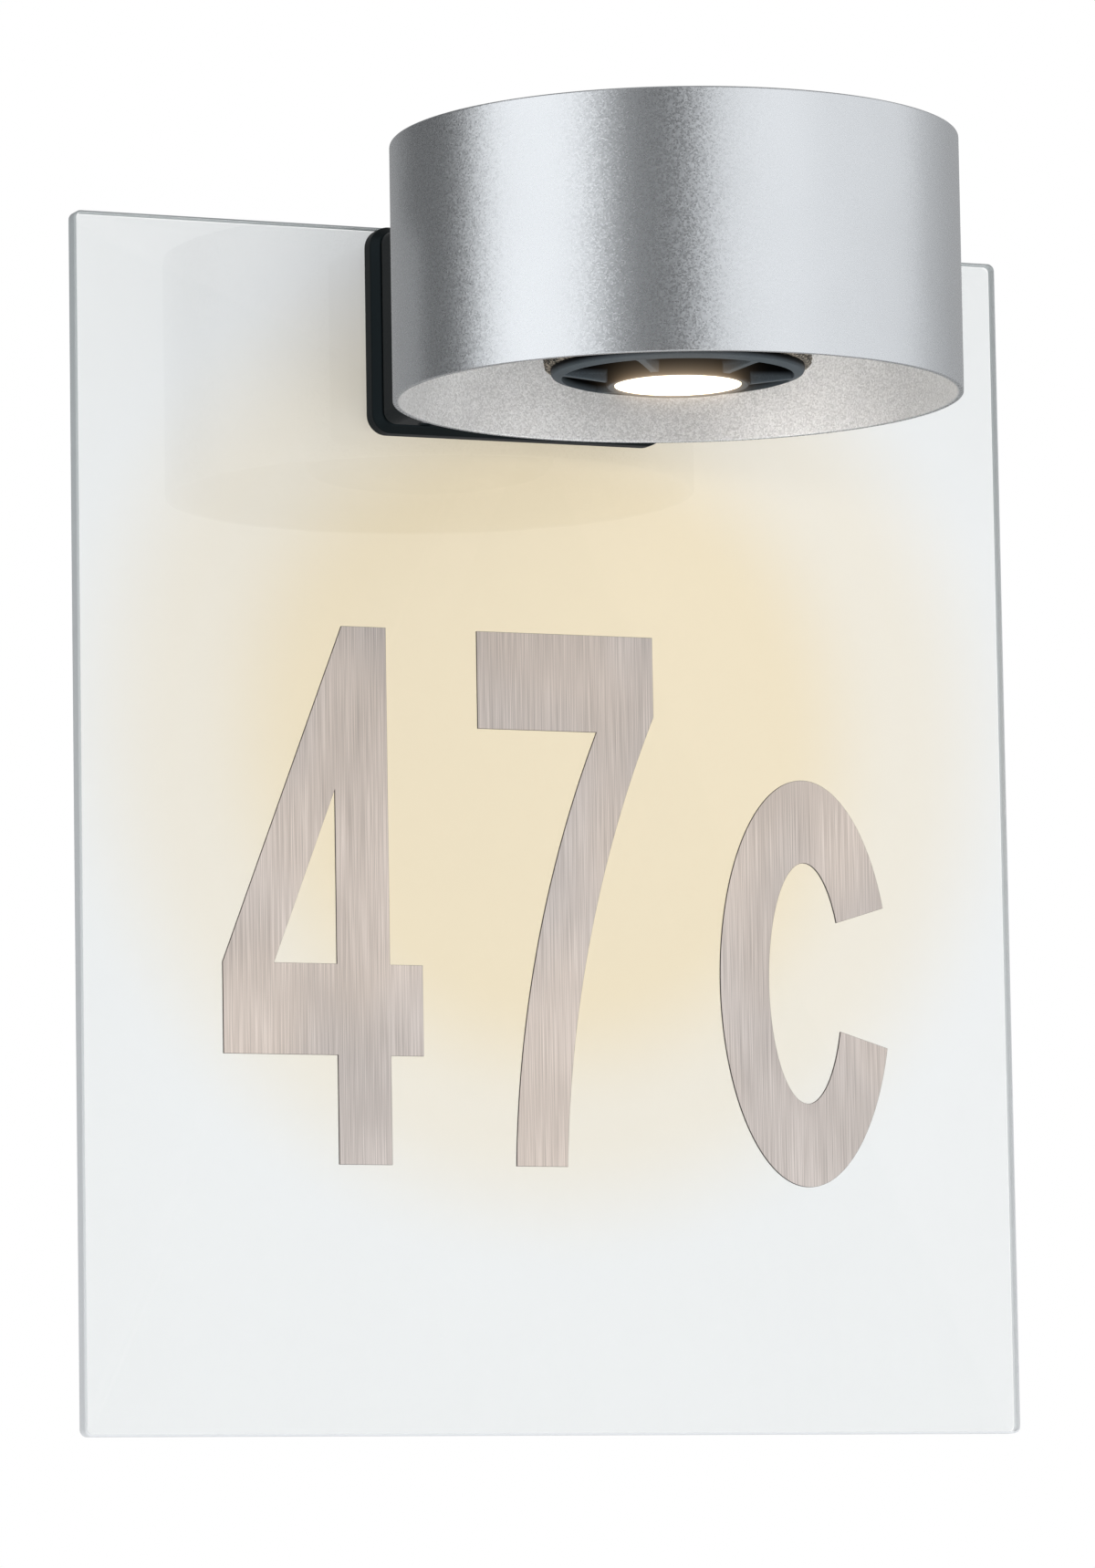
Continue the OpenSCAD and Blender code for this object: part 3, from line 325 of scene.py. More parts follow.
def silverMaterial(look):
    # Metal flakes: each small cell has a tilt and a tone of its own, normal + tilt (cell - 1/2).
    # Inside the drum the paint is more matt, and lighter as painted light for the light bouncing
    # inside.
    material, tree, shader, place = startMaterial("silverPaint", {})
    wallFrom, wallTo = [(layout["innerRadius"] + past) / 1000 for past in look["pastWall"]]
    roofFrom, roofTo = [(layout["headRoof"] - under) / 1000 for under in look["underRoof"]]
    inside = combined(tree, "MULTIPLY",
                      rangeFrom(tree, fromAxis(tree, place), 1.0, 0.0, wallFrom, wallTo),
                      rangeFrom(tree, heightOf(tree, place), 1.0, 0.0, roofFrom, roofTo))
    cell = addNode(tree, "TexVoronoi", None,
                   {"Vector": place, "Scale": 1000 / look["flake"]}).outputs["Color"]
    flakes = addNode(tree, "SeparateXYZ", None, {0: cell}).outputs["X"]
    cloud = noiseField(tree, place, look["cloud"], 2)
    both = weighted(tree, flakes, cloud, look["flakeShare"])
    outerColour = rampFrom(tree, both, shades(look["colour"], look["spread"]))
    paintedLightInner = rampFrom(tree, both, shades(look["inside"], look["insideSpread"]))
    tree.links.new(blendColour(tree, inside, outerColour, paintedLightInner),
                   shader.inputs["Base Color"])
    matt = blend(tree, inside, rangeFrom(tree, flakes, *look["roughness"]),
                 look["insideRoughness"])
    tree.links.new(matt, shader.inputs["Roughness"])
    tree.links.new(blend(tree, inside, look["metal"], look["insideMetal"]),
                   shader.inputs["Metallic"])
    peel = addNode(tree, "Bump", None, {"Height": noiseField(tree, place, look["peel"], 2),
                                        "Distance": look["bump"] / 1000})
    lean = addNode(tree, "VectorMath", {"operation": "SUBTRACT"}, {0: cell, 1: (0.5, 0.5, 0.5)})
    tipped = addNode(tree, "VectorMath", {"operation": "MULTIPLY_ADD"},
                     {0: lean.outputs[0], 1: (look["tilt"],) * 3, 2: peel.outputs[0]})
    unit = addNode(tree, "VectorMath", {"operation": "NORMALIZE"}, {0: tipped.outputs[0]})
    tree.links.new(unit.outputs[0], shader.inputs["Normal"])
    return material


silverPaint = silverMaterial(silverLook)

blackLook = {
    "colour": (0.0024, 0.0036, 0.0037), "spread": 0.35, "grain": 0.35, "cloud": 14,
    "bump": 0.015, "roughness": (0.40, 0.52),
    "constants": {"Specular IOR Level": 0.16, "Specular Tint": (0.62, 0.86, 1.0, 1)},
}
blackCasting = grainedMaterial("blackCasting", blackLook)

plainLooks = {
    "black_plastic": {
        "colour": (0.0042, 0.0048, 0.0054), "spread": 0.25, "grain": 0.3, "cloud": 10,
        "bump": 0.01, "roughness": (0.36, 0.48),
        "constants": {"Specular IOR Level": 0.24, "Specular Tint": (0.52, 0.70, 1.0, 1)}},
    "spoked_front": {
        "colour": (0.064, 0.077, 0.087), "spread": 0.2, "grain": 0.3, "cloud": 7,
        # the last heights, the hub's wall radii and the near-black colour paint shade into the
        # recess
        "bump": 0.01, "roughness": (0.45, 0.58), "recessShadeHeights": (-0.1, 0.9),
        "hubWall": (13.4, 13.7, 13.95, 14.35), "recessShadeColour": (0.002, 0.002, 0.002),
        "constants": {"Specular IOR Level": 0.07, "Specular Tint": (0.52, 0.70, 1.0, 1)}},
    "dark_aluminium": {
        "colour": (0.014, 0.015, 0.017), "spread": 0.18, "grain": 0.3, "cloud": 8,
        "bump": 0.01, "roughness": (0.36, 0.5), "constants": {"Metallic": 1.0}},
    "rubber": {
        "colour": (0.022, 0.021, 0.020), "spread": 0.3, "grain": 0.5, "cloud": 9,
        "bump": 0.02, "roughness": (0.7, 0.85)},
    "screw_steel": {
        "colour": (0.56, 0.56, 0.57), "spread": 0.1, "grain": 0.25, "cloud": 4,
        "bump": 0.006, "roughness": (0.22, 0.36), "constants": {"Metallic": 1.0}},
    "cream_plastic": {
        "colour": (0.76, 0.73, 0.66), "spread": 0.06, "grain": 0.4, "cloud": 8,
        "bump": 0.01, "roughness": (0.45, 0.6)},
    "contact_brass": {
        "colour": (0.72, 0.52, 0.24), "spread": 0.12, "grain": 0.3, "cloud": 5,
        "bump": 0.006, "roughness": (0.24, 0.38), "constants": {"Metallic": 1.0}},
    "lead_sleeve": {
        "colour": (0.20, 0.09, 0.045), "spread": 0.15, "grain": 0.4, "cloud": 6,
        "bump": 0.01, "roughness": (0.4, 0.55)},
    "earth_sleeve": {
        "colour": (0.22, 0.42, 0.06), "spread": 0.15, "grain": 0.4, "cloud": 6,
        "bump": 0.01, "roughness": (0.4, 0.55)},
    "board_white": {
        "colour": (0.80, 0.80, 0.78), "spread": 0.05, "grain": 0.4, "cloud": 6,
        "bump": 0.008, "roughness": (0.4, 0.55)},
    "board_green": {
        "colour": (0.04, 0.18, 0.08), "spread": 0.15, "grain": 0.4, "cloud": 6,
        "bump": 0.008, "roughness": (0.3, 0.45)},
    "chip_yellow": {
        "colour": (0.86, 0.62, 0.12), "spread": 0.08, "grain": 0.3, "cloud": 3,
        "bump": 0.008, "roughness": (0.35, 0.5)},
    "clear_buffer": {
        "colour": (0.72, 0.73, 0.72), "spread": 0.05, "grain": 0.5, "cloud": 6,
        "bump": 0.01, "roughness": (0.3, 0.45),
        "constants": {"Transmission Weight": 0.45, "IOR": 1.45}},
}
finishes = {slot: grainedMaterial(slot.replace("_", "") + "Finish", look)
            for slot, look in plainLooks.items()}
finishes["black_casting"] = blackCasting
finishes["silver_paint"] = silverPaint

# Clear sheet with polished edges
clearLook = {
    "colour": (0.985, 0.992, 0.99), "spread": 0.004, "cloud": 45, "ior": 1.5,
    "roughness": (0.0, 0.012), "through": (0.97, 0.98, 0.975),
    # the edge greys are painted shade, lighter at the foot and darker towards the top
    "edgeShadeFoot": (0.62, 0.64, 0.66), "edgeShadeTop": (0.34, 0.37, 0.38), "topFrom": 20,
    "edgeRoughness": 0.3, "edgeClear": 0.12, "paintedMirrorGrey": 0.33,
}


def clearMaterial(look):
    # clear faces, and grey edges that let little light through and carry painted shade, darker
    # upwards
    material, tree, shader, place = startMaterial("clearPanel", {"IOR": look["ior"]})
    cloud = noiseField(tree, place, look["cloud"], 2)
    side = sideShare(tree)
    upwards = rangeFrom(tree, heightOf(tree, place), 0.0, 1.0, layout["panelFoot"] / 1000,
                        look["topFrom"] / 1000)
    # painted shade on the edges, darker upwards
    edge = blendColour(tree, upwards, (*look["edgeShadeFoot"], 1), (*look["edgeShadeTop"], 1))
    face = rampFrom(tree, cloud, shades(look["colour"], look["spread"]))
    tree.links.new(blendColour(tree, side, face, edge), shader.inputs["Base Color"])
    smooth = rangeFrom(tree, cloud, *look["roughness"])
    tree.links.new(blend(tree, side, smooth, look["edgeRoughness"]), shader.inputs["Roughness"])
    tree.links.new(blend(tree, side, 1.0, look["edgeClear"]),
                   shader.inputs["Transmission Weight"])
    # lamps shine through it onto the layer behind
    rays = addNode(tree, "LightPath").outputs
    through = addNode(tree, "BsdfTransparent", None, {"Color": (*look["through"], 1)}).outputs[0]
    soft = mixShaders(tree, rays["Is Diffuse Ray"], shader.outputs[0], through)
    # a painted reflection: where the drum mirrors the sheet, it shows an even grey glow
    paintedMirrorGrey = addNode(tree, "Math", {"operation": "SUBTRACT", "use_clamp": True},
                       {0: rays["Is Glossy Ray"], 1: rays["Is Transmission Ray"]}).outputs[0]
    grey = addNode(tree, "Emission", None, {"Strength": look["paintedMirrorGrey"]}).outputs[0]
    soft = mixShaders(tree, paintedMirrorGrey, soft, grey)
    tree.links.new(mixShaders(tree, rays["Is Shadow Ray"], soft, through),
                   tree.nodes["Material Output"].inputs["Surface"])
    return material


finishes["clear_panel"] = clearMaterial(clearLook)

# Satin white layer, with the lamp's warm pool of light painted into its colour and glow
satinLook = {
    # the warm colour and the glow are painted light: the lamp's warm pool and an even glow
    "white": (0.48, 0.484, 0.49), "paintedLampLight": (0.483, 0.416, 0.302), "glow": 0.76,
    "centre": (7.7, -11, -80), "full": 50, "half": 78, "end": 108, "roughness": (0.5, 0.62),
    "grain": 0.35, "speck": 0.985,
}


def satinMaterial(look):
    # The painted warm pool of lamp light is full within one radius and fades to nothing at
    # another.
    # Its even glow is painted light that lifts the whole layer and softens the shade on it.
    material, tree, shader, place = startMaterial(
        "satinWhite", {"Specular IOR Level": 0.3, "Emission Strength": look["glow"]})
    centre = [c / 1000 for c in look["centre"]]
    offset = addNode(tree, "VectorMath", {"operation": "DISTANCE"}, {0: place, 1: centre})
    away = combined(tree, "DIVIDE", offset.outputs["Value"], look["end"] / 1000)
    middle = [(w + c) / 2 for w, c in zip(look["paintedLampLight"], look["white"])]
    # painted light: the lamp's warm pool, full near the centre and plain white further out
    paintedLampPool = rampFrom(tree, away, [(look["full"] / look["end"], look["paintedLampLight"]),
                                 (look["half"] / look["end"], middle),
                                 (1.0, look["white"])], "EASE")
    fine = noiseField(tree, place, look["grain"], 2)
    speck = rampFrom(tree, fine, [(0.3, (look["speck"],) * 3), (0.7, (1, 1, 1))])
    tree.links.new(blendColour(tree, 1.0, paintedLampPool, speck, "MULTIPLY"), shader.inputs["Base Color"])
    tree.links.new(paintedLampPool, shader.inputs["Emission Color"])
    tree.links.new(rangeFrom(tree, fine, *look["roughness"]), shader.inputs["Roughness"])
    return material


finishes["satin_white"] = satinMaterial(satinLook)

# Brushed metal of the digits, with upright streaks and a darker cut edge
brushedLook = {
    "dark": (0.40, 0.350, 0.316), "middle": (0.58, 0.508, 0.458), "light": (0.80, 0.71, 0.648),
    "edge": (0.10, 0.085, 0.075), "streak": 0.17, "length": 130, "streakShare": 0.7,
    "bump": 0.003,
    "cloud": 16, "cool": (0.90, 0.93, 0.97), "patch": 26, "patchAt": (0.42, 0.62),
    # painted shade: between the two heights the metal darkens to the top share
    "roughness": (0.34, 0.5), "shadeHeights": (-165, -60), "top": 0.94,
}


def brushedMaterial(look):
    # Upright streaks and cooler patches. Painted shade makes the metal a little darker towards
    # the lamp.
    material, tree, shader, place = startMaterial("brushedDigits", {"Metallic": 1.0})
    streak = noiseField(tree, place, look["streak"], 3, (1, 1, look["length"]))
    cloud = noiseField(tree, place, look["cloud"], 2, (1, 1, 2))
    both = weighted(tree, streak, cloud, look["streakShare"])
    metal = rampFrom(tree, both, [(0.33, look["dark"]), (0.5, look["middle"]),
                                  (0.67, look["light"])])
    low, high = [z / 1000 for z in look["shadeHeights"]]
    # painted shade, darker towards the top
    paintedShade = rangeFrom(tree, heightOf(tree, place), 1.0, look["top"], low, high)
    shadedMetal = blendColour(tree, 1.0, metal, paintedShade, "MULTIPLY")
    cooler = blendColour(tree, 1.0, shadedMetal, (*look["cool"], 1), "MULTIPLY")
    patch = rangeFrom(tree, noiseField(tree, place, look["patch"], 1, (1, 1, 2)), 0.0, 1.0,
                      *look["patchAt"])
    face = blendColour(tree, patch, shadedMetal, cooler)
    tree.links.new(blendColour(tree, sideShare(tree), face, (*look["edge"], 1)),
                   shader.inputs["Base Color"])
    tree.links.new(rangeFrom(tree, both, *look["roughness"]), shader.inputs["Roughness"])
    bumpFrom(tree, shader, streak, look["bump"])
    return material


finishes["brushed_digits"] = brushedMaterial(brushedLook)

# Lens that glows, whitest in the middle
lensLook = {"base": (0.9, 0.88, 0.84), "core": (1.0, 0.95, 0.86), "coreTo": 0.55,
            "edge": (1.0, 0.80, 0.54), "strength": 2.6, "grain": 0.5,
            "roughness": (0.2, 0.32), "bump": 0.01}


def lensMaterial(look):
    # the glow follows the distance from the lamp's axis
    material, tree, shader, place = startMaterial(
        "lensClear", {"Base Color": (*look["base"], 1), "Emission Strength": look["strength"]})
    share = combined(tree, "DIVIDE", fromAxis(tree, place), layout["lensRadius"] / 1000)
    tree.links.new(rampFrom(tree, share, [(look["coreTo"], look["core"]), (1.0, look["edge"])]),
                   shader.inputs["Emission Color"])
    fine = noiseField(tree, place, look["grain"], 2)
    tree.links.new(rangeFrom(tree, fine, *look["roughness"]), shader.inputs["Roughness"])
    bumpFrom(tree, shader, fine, look["bump"])
    return material


finishes["lens_clear"] = lensMaterial(lensLook)

# Mottled ring between the cup and the lamp
sealLook = {"dark": (0.004, 0.004, 0.0035), "darkTo": 0.47, "brown": (0.40, 0.35, 0.28),
            "brownFrom": 0.60, "grain": 0.6, "roughness": (0.5, 0.8), "bump": 0.25}


def mottledMaterial(look):
    # nearly black and brown patches with little between them
    material, tree, shader, place = startMaterial("mottledSeal", {})
    patch = noiseField(tree, place, look["grain"], 4, rough=0.65)
    tree.links.new(rampFrom(tree, patch, [(look["darkTo"], look["dark"]),
                                          (look["brownFrom"], look["brown"])]),
                   shader.inputs["Base Color"])
    tree.links.new(rangeFrom(tree, patch, *look["roughness"]), shader.inputs["Roughness"])
    bumpFrom(tree, shader, patch, look["bump"])
    return material


mottledSeal = mottledMaterial(sealLook)
print("finishes made:", len(bpy.data.materials))

# The CAD nodes that stay get their finish
for nodeName, nodeObject in frame["nodes"].items():
    for materialSlot in nodeObject.material_slots:
        materialSlot.material = finishes[slotOf[nodeName]]

# Pieces that are the CAD's own form with softer corners
softPieces = {
    "number_panel": {"name": "clearSheet", "width": 0.08, "above": 30},
    "wall_plate": {"name": "wallPlate", "width": 0.35, "above": 40},
    "bracket": {"name": "bracketBody", "width": 0.22, "above": 24},
    "saddle": {"name": "saddleBody", "width": 0.4, "above": 40},
    "grub_screws": {"name": "grubScrews", "width": 0.15, "above": 45},
    "ceiling_screws": {"name": "ceilingScrews", "width": 0.3, "above": 45},
    "ceiling_plate": {"name": "ceilingPlate", "width": 0.25, "above": 45},
    "heat_sink": {"name": "finnedBody", "width": 0.12, "above": 45},
    "panel_buffers": {"name": "panelBuffers", "width": 0.3, "above": 45},
}
for nodeName, shape in softPieces.items():
    piece = softened(nodeName, shape["name"], shape["width"], shape["above"])
    standFor(piece, nodeName, finishes[slotOf[nodeName]])
    # no dark mirror image of the bracket in the drum
    piece.visible_glossy = nodeName != "bracket"
print("softened pieces:", len(softPieces))


# Digits: an outline in the panel's plane, given a thickness towards the front

digitShape = {"thick": 0.5, "foot": 53, "height": 106.5, "bevel": 0.07}


def cutSheet(name, outline, faces, loops):
    # the outline's points stand once on the panel and once a thickness in front of it
    outline = np.asarray(outline, float)
    count = len(outline)
    x = layout["panelMiddle"] + outline[:, 0]
    z = layout["panelFoot"] + digitShape["foot"] + outline[:, 1]
    back = np.stack([x, np.full(count, layout["panelFront"]), z], -1)
    front = back - [0, digitShape["thick"], 0]
    groups = []
    for face in faces:
        groups.append(np.array(face))
        groups.append(np.array(face[::-1]) + count)
    for loop in loops:
        loop = np.array(loop)
        after = np.roll(loop, -1)
        groups.append(np.stack([loop, after, after + count, loop + count], -1))
    return buildPiece(name, [(np.concatenate([back, front]), groups)], 30,
                      {"width": digitShape["bevel"], "segments": 2, "above": 40})


fourShape = {
    "left": -71, "width": 42, "stem": 11.2, "stemAt": 23.9, "bar": 18, "barAt": 21.5,
    "slant": 10.7, "peak": 9.4,
}


def makeFour(shape):
    # straight edges, with a triangular opening between stem, bar and slanted stroke
    height = digitShape["height"]
    stemEnd = shape["stemAt"] + shape["stem"]
    barTop = shape["barAt"] + shape["bar"]
    peakAt = stemEnd - shape["peak"]
    slope = (height - barTop) / peakAt
    outer = [[0, shape["barAt"]], [shape["stemAt"], shape["barAt"]], [shape["stemAt"], 0],
             [stemEnd, 0], [stemEnd, shape["barAt"]], [shape["width"], shape["barAt"]],
             [shape["width"], barTop], [stemEnd, barTop], [stemEnd, height], [peakAt, height],
             [0, barTop]]
    inner = [[shape["slant"], barTop], [shape["stemAt"], barTop],
             [shape["stemAt"], barTop + (shape["stemAt"] - shape["slant"]) * slope]]
    points = np.array(outer + inner) + [shape["left"], 0]
    faces = [[0, 1, 2, 3, 4, 5, 6, 7, 12, 11, 10], [10, 11, 13, 12, 7, 8, 9]]
    return cutSheet("digitFour", points, faces, [list(range(11)), [13, 12, 11]])


sevenShape = {
    "left": -16.5, "width": 38, "bar": 19.5, "tip": 0.82, "radius": 245, "leg": 11,
    "legAt": 6.8, "drop": 7,
}


def makeSeven(shape, steps=48):
    # the leg's sides follow circles: x = start + radius - sqrt(radius^2 - (z + drop)^2)
    height = digitShape["height"]
    barFoot = height - shape["bar"]
    corner = height - shape["tip"] * shape["bar"]

    def legSide(start, z):
        bow = np.sqrt(shape["radius"] ** 2 - (z + shape["drop"]) ** 2)
        return np.stack([start + shape["radius"] - bow, z], -1)

    outer = legSide(shape["legAt"] + shape["leg"], np.linspace(corner, 0, steps))
    inner = legSide(shape["legAt"], np.linspace(0, barFoot, steps))
    top = [[0, barFoot], [0, height], [shape["width"], height], [shape["width"], corner]]
    points = np.concatenate([top, outer, inner]) + [shape["left"], 0]
    around = list(range(len(points)))
    return cutSheet("digitSeven", points, [around], [around])


letterShape = {
    "middle": 53.9, "width": 37.6, "height": 82.2, "side": 10.7, "cap": 16.8,
    "mouth": 21.4, "rise": 1.4, "spread": 0.31, "drop": 3.6,
}


def makeLetter(shape, steps=140):
    # two ellipses, (a cos t, b sin t), end where the mouth's sloping edges cut them
    a = shape["width"] / 2
    b = shape["height"] / 2
    slopeFrom = a / 3

    def mouthAngle(halfWide, halfHigh, side, tries=4000):
        t = np.linspace(0, math.pi / 2, tries)
        slope = shape["spread"] * (halfWide * np.cos(t) - slopeFrom)
        edge = shape["mouth"] / 2 + shape["rise"] * side + slope
        return side * float(np.interp(0, halfHigh * np.sin(t) - edge, t))

    def arc(halfWide, halfHigh):
        start = mouthAngle(halfWide, halfHigh, 1)
        end = mouthAngle(halfWide, halfHigh, -1) + 2 * math.pi
        t = np.linspace(start, end, steps)
        return np.stack([halfWide * np.cos(t), halfHigh * np.sin(t)], -1)

    outer = arc(a, b)
    inner = arc(a - shape["side"], b - shape["cap"])[::-1]
    points = np.concatenate([outer, inner]) + [shape["middle"], b - shape["drop"]]
    # a strip of four-sided faces between the two curves
    first = np.arange(steps - 1)
    pairs = np.stack([first, first + 1, 2 * steps - 2 - first, 2 * steps - 1 - first], -1)
    return cutSheet("letterC", points, pairs.tolist(), [list(range(len(points)))])


digits = {"digit_four": makeFour(fourShape), "digit_seven": makeSeven(sevenShape),
          "letter_c": makeLetter(letterShape)}
for nodeName, piece in digits.items():
    standFor(piece, nodeName, finishes["brushed_digits"])
    # the thin sheet throws no dark halo on the white layer behind the clear one
    piece.visible_shadow = False
    piece.visible_diffuse = False
print("digits made")


# Drum: one closed profile round the lamp's axis, with the ledge for the ceiling's seal

drumShape = {
    "roofThick": 2.5, "ledgeAt": 4.25, "ledgeThick": 1.4, "ledgeDeep": 2.2,
    "rimRound": 0.25, "roofRound": 0.5, "insideRound": 1.0, "ledgeRound": 0.2, "steps": 288,
    "bossRing": 44.75, "bossRadius": 4, "bossHole": 1.6, "bossAngles": (30, 150, 270),
    "bossInto": 0.5, "bossRound": 0.3, "bossSteps": 40,
}


def makeDrum(shape):
    foot = layout["headFoot"]
    roof = layout["headRoof"]
    outer = layout["headRadius"]
    inner = layout["innerRadius"]
    underRoof = roof - shape["roofThick"]
    ledge = shape["ledgeAt"]
    corners = [[inner, foot], [outer, foot], [outer, roof], [0, roof], [0, underRoof],
               [inner, underRoof], [inner, ledge + shape["ledgeThick"]],
               [inner - shape["ledgeDeep"], ledge + shape["ledgeThick"]],
               [inner - shape["ledgeDeep"], ledge], [inner, ledge]]
    radii = [shape["rimRound"]] * 2 + [shape["roofRound"], 0, 0, shape["insideRound"]]
    radii += [shape["ledgeRound"]] * 4
    shells = [spin(roundedPath(corners, radii), shape["steps"])]
    # the bosses for the ceiling's screws run a little way into the roof
    bossTop = underRoof + shape["bossInto"]
    bossCorners = [[shape["bossHole"], layout["ceilingOver"]],
                   [shape["bossRadius"], layout["ceilingOver"]],
                   [shape["bossRadius"], bossTop], [shape["bossHole"], bossTop]]
    for angle in shape["bossAngles"]:
        points, faces = spin(roundedPath(bossCorners, shape["bossRound"], 4),
                             shape["bossSteps"], (0, 0))
        points = turned(points + [shape["bossRing"] + layout["axisX"], layout["axisY"], 0], angle)
        shells.append((points, faces))
    return buildPiece("drumShell", shells)


standFor(makeDrum(drumShape), "lamp_head", silverPaint)

# Cup round the lamp, with a rounded lip, a flange above the ceiling and a roof
cupShape = {"inner": 23.8, "outer": 26.0, "foot": -14.2, "flange": 33.0, "flangeThick": 2.0,
            "roof": 11.45, "roofThick": 2.0, "hole": 12.5, "lipRounds": (0.48, 0.8),
            "flangeRound": 0.15, "flangeEdgeRound": 0.4, "roofRound": 0.6, "holeRound": 0.3,
            "steps": 224}


def makeCup(shape):
    over = layout["ceilingOver"]
    corners = [[shape["inner"], shape["foot"]], [shape["outer"], shape["foot"]],
               [shape["outer"], over], [shape["flange"], over],
               [shape["flange"], over + shape["flangeThick"]],
               [shape["outer"], over + shape["flangeThick"]], [shape["outer"], shape["roof"]],
               [shape["hole"], shape["roof"]],
               [shape["hole"], shape["roof"] - shape["roofThick"]],
               [shape["inner"], shape["roof"] - shape["roofThick"]]]
    radii = [*shape["lipRounds"], shape["flangeRound"], shape["flangeRound"],
             shape["flangeEdgeRound"], shape["flangeRound"], shape["roofRound"],
             shape["holeRound"], shape["holeRound"], shape["roofRound"]]
    return buildPiece("lampCup", [spin(roundedPath(corners, radii), shape["steps"])])


standFor(makeCup(cupShape), "lamp_cup", blackCasting)

# Mottled ring of two ribbed strands, one above the other
ringShape = {"inner": 23.2, "outer": 26.0, "foot": -15.7, "thick": 1.5, "round": 0.18,
             "footIn": 0.6, "lowIn": 0.15, "waistIn": 0.55, "topIn": 0.3, "waved": 1,
             "ribs": 130, "ribHigh": 0.10, "swells": 11, "swellHigh": 0.06,
             "ripples": 29, "rippleHigh": 0.05}


def makeSealRing(shape, steps=1040):
    # Where it is waved, a radius r becomes r + (wave - ribHigh) r / outer. The wave is a sum
    # of sines, and the upper strand's ribs lie between those of the lower one.
    foot = shape["foot"]
    middle = foot + shape["thick"] / 2
    top = foot + shape["thick"]
    outer = shape["outer"]
    corners = [[shape["inner"], foot], [outer - shape["footIn"], foot],
               [outer - shape["lowIn"], (foot + middle) / 2], [outer - shape["waistIn"], middle],
               [outer, middle + shape["thick"] / 4], [outer - shape["topIn"], top],
               [shape["inner"], top]]
    points, faces = spin(roundedPath(corners, shape["round"], 4), steps, (0, 0))
    angle = np.arctan2(points[:, 1], points[:, 0])
    radius = np.hypot(points[:, 0], points[:, 1])
    shift = math.pi * (points[:, 2] > middle)
    wave = (shape["swellHigh"] * np.sin(shape["swells"] * angle)
            + shape["rippleHigh"] * np.sin(shape["ripples"] * angle + 1)
            + shape["ribHigh"] * np.sin(shape["ribs"] * angle + shift))
    grown = 1 + (wave - shape["ribHigh"]) * (radius > outer - shape["waved"]) / outer
    points[:, 0] = points[:, 0] * grown + layout["axisX"]
    points[:, 1] = points[:, 1] * grown + layout["axisY"]
    return buildPiece("mottledRing", [(points, faces)])


standFor(makeSealRing(ringShape), "lamp_seal", mottledSeal)
print("drum, cup and ring made")


# Lamp's front ring, its hub and the spokes between them

frontShape = {
    "radius": 24.5, "bandAt": 22.4, "drop": 0.6, "thick": 1.4, "bandEdge": (0.3, 0.5),
    "bandHigh": (1.6, 1), "bandRound": 0.14, "bandSteps": 224,
    "skirt": 22.9, "skirtWall": 0.4, "skirtHigh": 6,
    "hub": 13.85, "hubDrop": 2.35, "hubHigh": 4.2, "hubEdge": (0.35, 0.5), "hubRise": 0.2,
    "hubRound": 0.12, "hubSteps": 160, "lensGap": 0.1,
    "spokes": 6, "firstSpoke": 48, "spokeWide": 1.5, "flare": 1.6, "spokeInto": (0.6, 0.4),
    "spokeFoot": (0.6, 0.1), "spokeTop": (3, 2), "spokeRound": 0.18,
}


def makeSpoke(shape, angle, stations=17):
    # A bar from hub to band. Its half width is w/2 + flare (2s-1)^8 / 2, s running 0 to 1,
    # and its foot and top run straight from the first height of each pair to the second.
    rim = layout["rimHeight"]
    s = np.linspace(0, 1, stations)
    start = shape["hub"] - shape["spokeInto"][0]
    end = shape["bandAt"] + shape["spokeInto"][1]
    half = shape["spokeWide"] / 2 + shape["flare"] * (2 * s - 1) ** 8 / 2
    low = ((rim - shape["hubDrop"] + shape["spokeFoot"][0]) * (1 - s)
           + (rim - shape["drop"] + shape["spokeFoot"][1]) * s)
    high = (rim + shape["spokeTop"][0]) * (1 - s) + (rim + shape["spokeTop"][1]) * s
    section = roundedPath([[-1, 0], [1, 0], [1, 1], [-1, 1]], shape["spokeRound"], 4)
    x = np.broadcast_to((start + (end - start) * s)[:, None], (stations, len(section)))
    y = half[:, None] * section[None, :, 0]
    z = low[:, None] + (high - low)[:, None] * section[None, :, 1]
    points = np.stack([x + layout["axisX"], y + layout["axisY"], z], -1).reshape(-1, 3)
    ring = np.arange(len(section))
    groups = [gridFaces(stations, len(section), False, True), ring[::-1],
              ring + (stations - 1) * len(section)]
    return turned(points, angle), groups


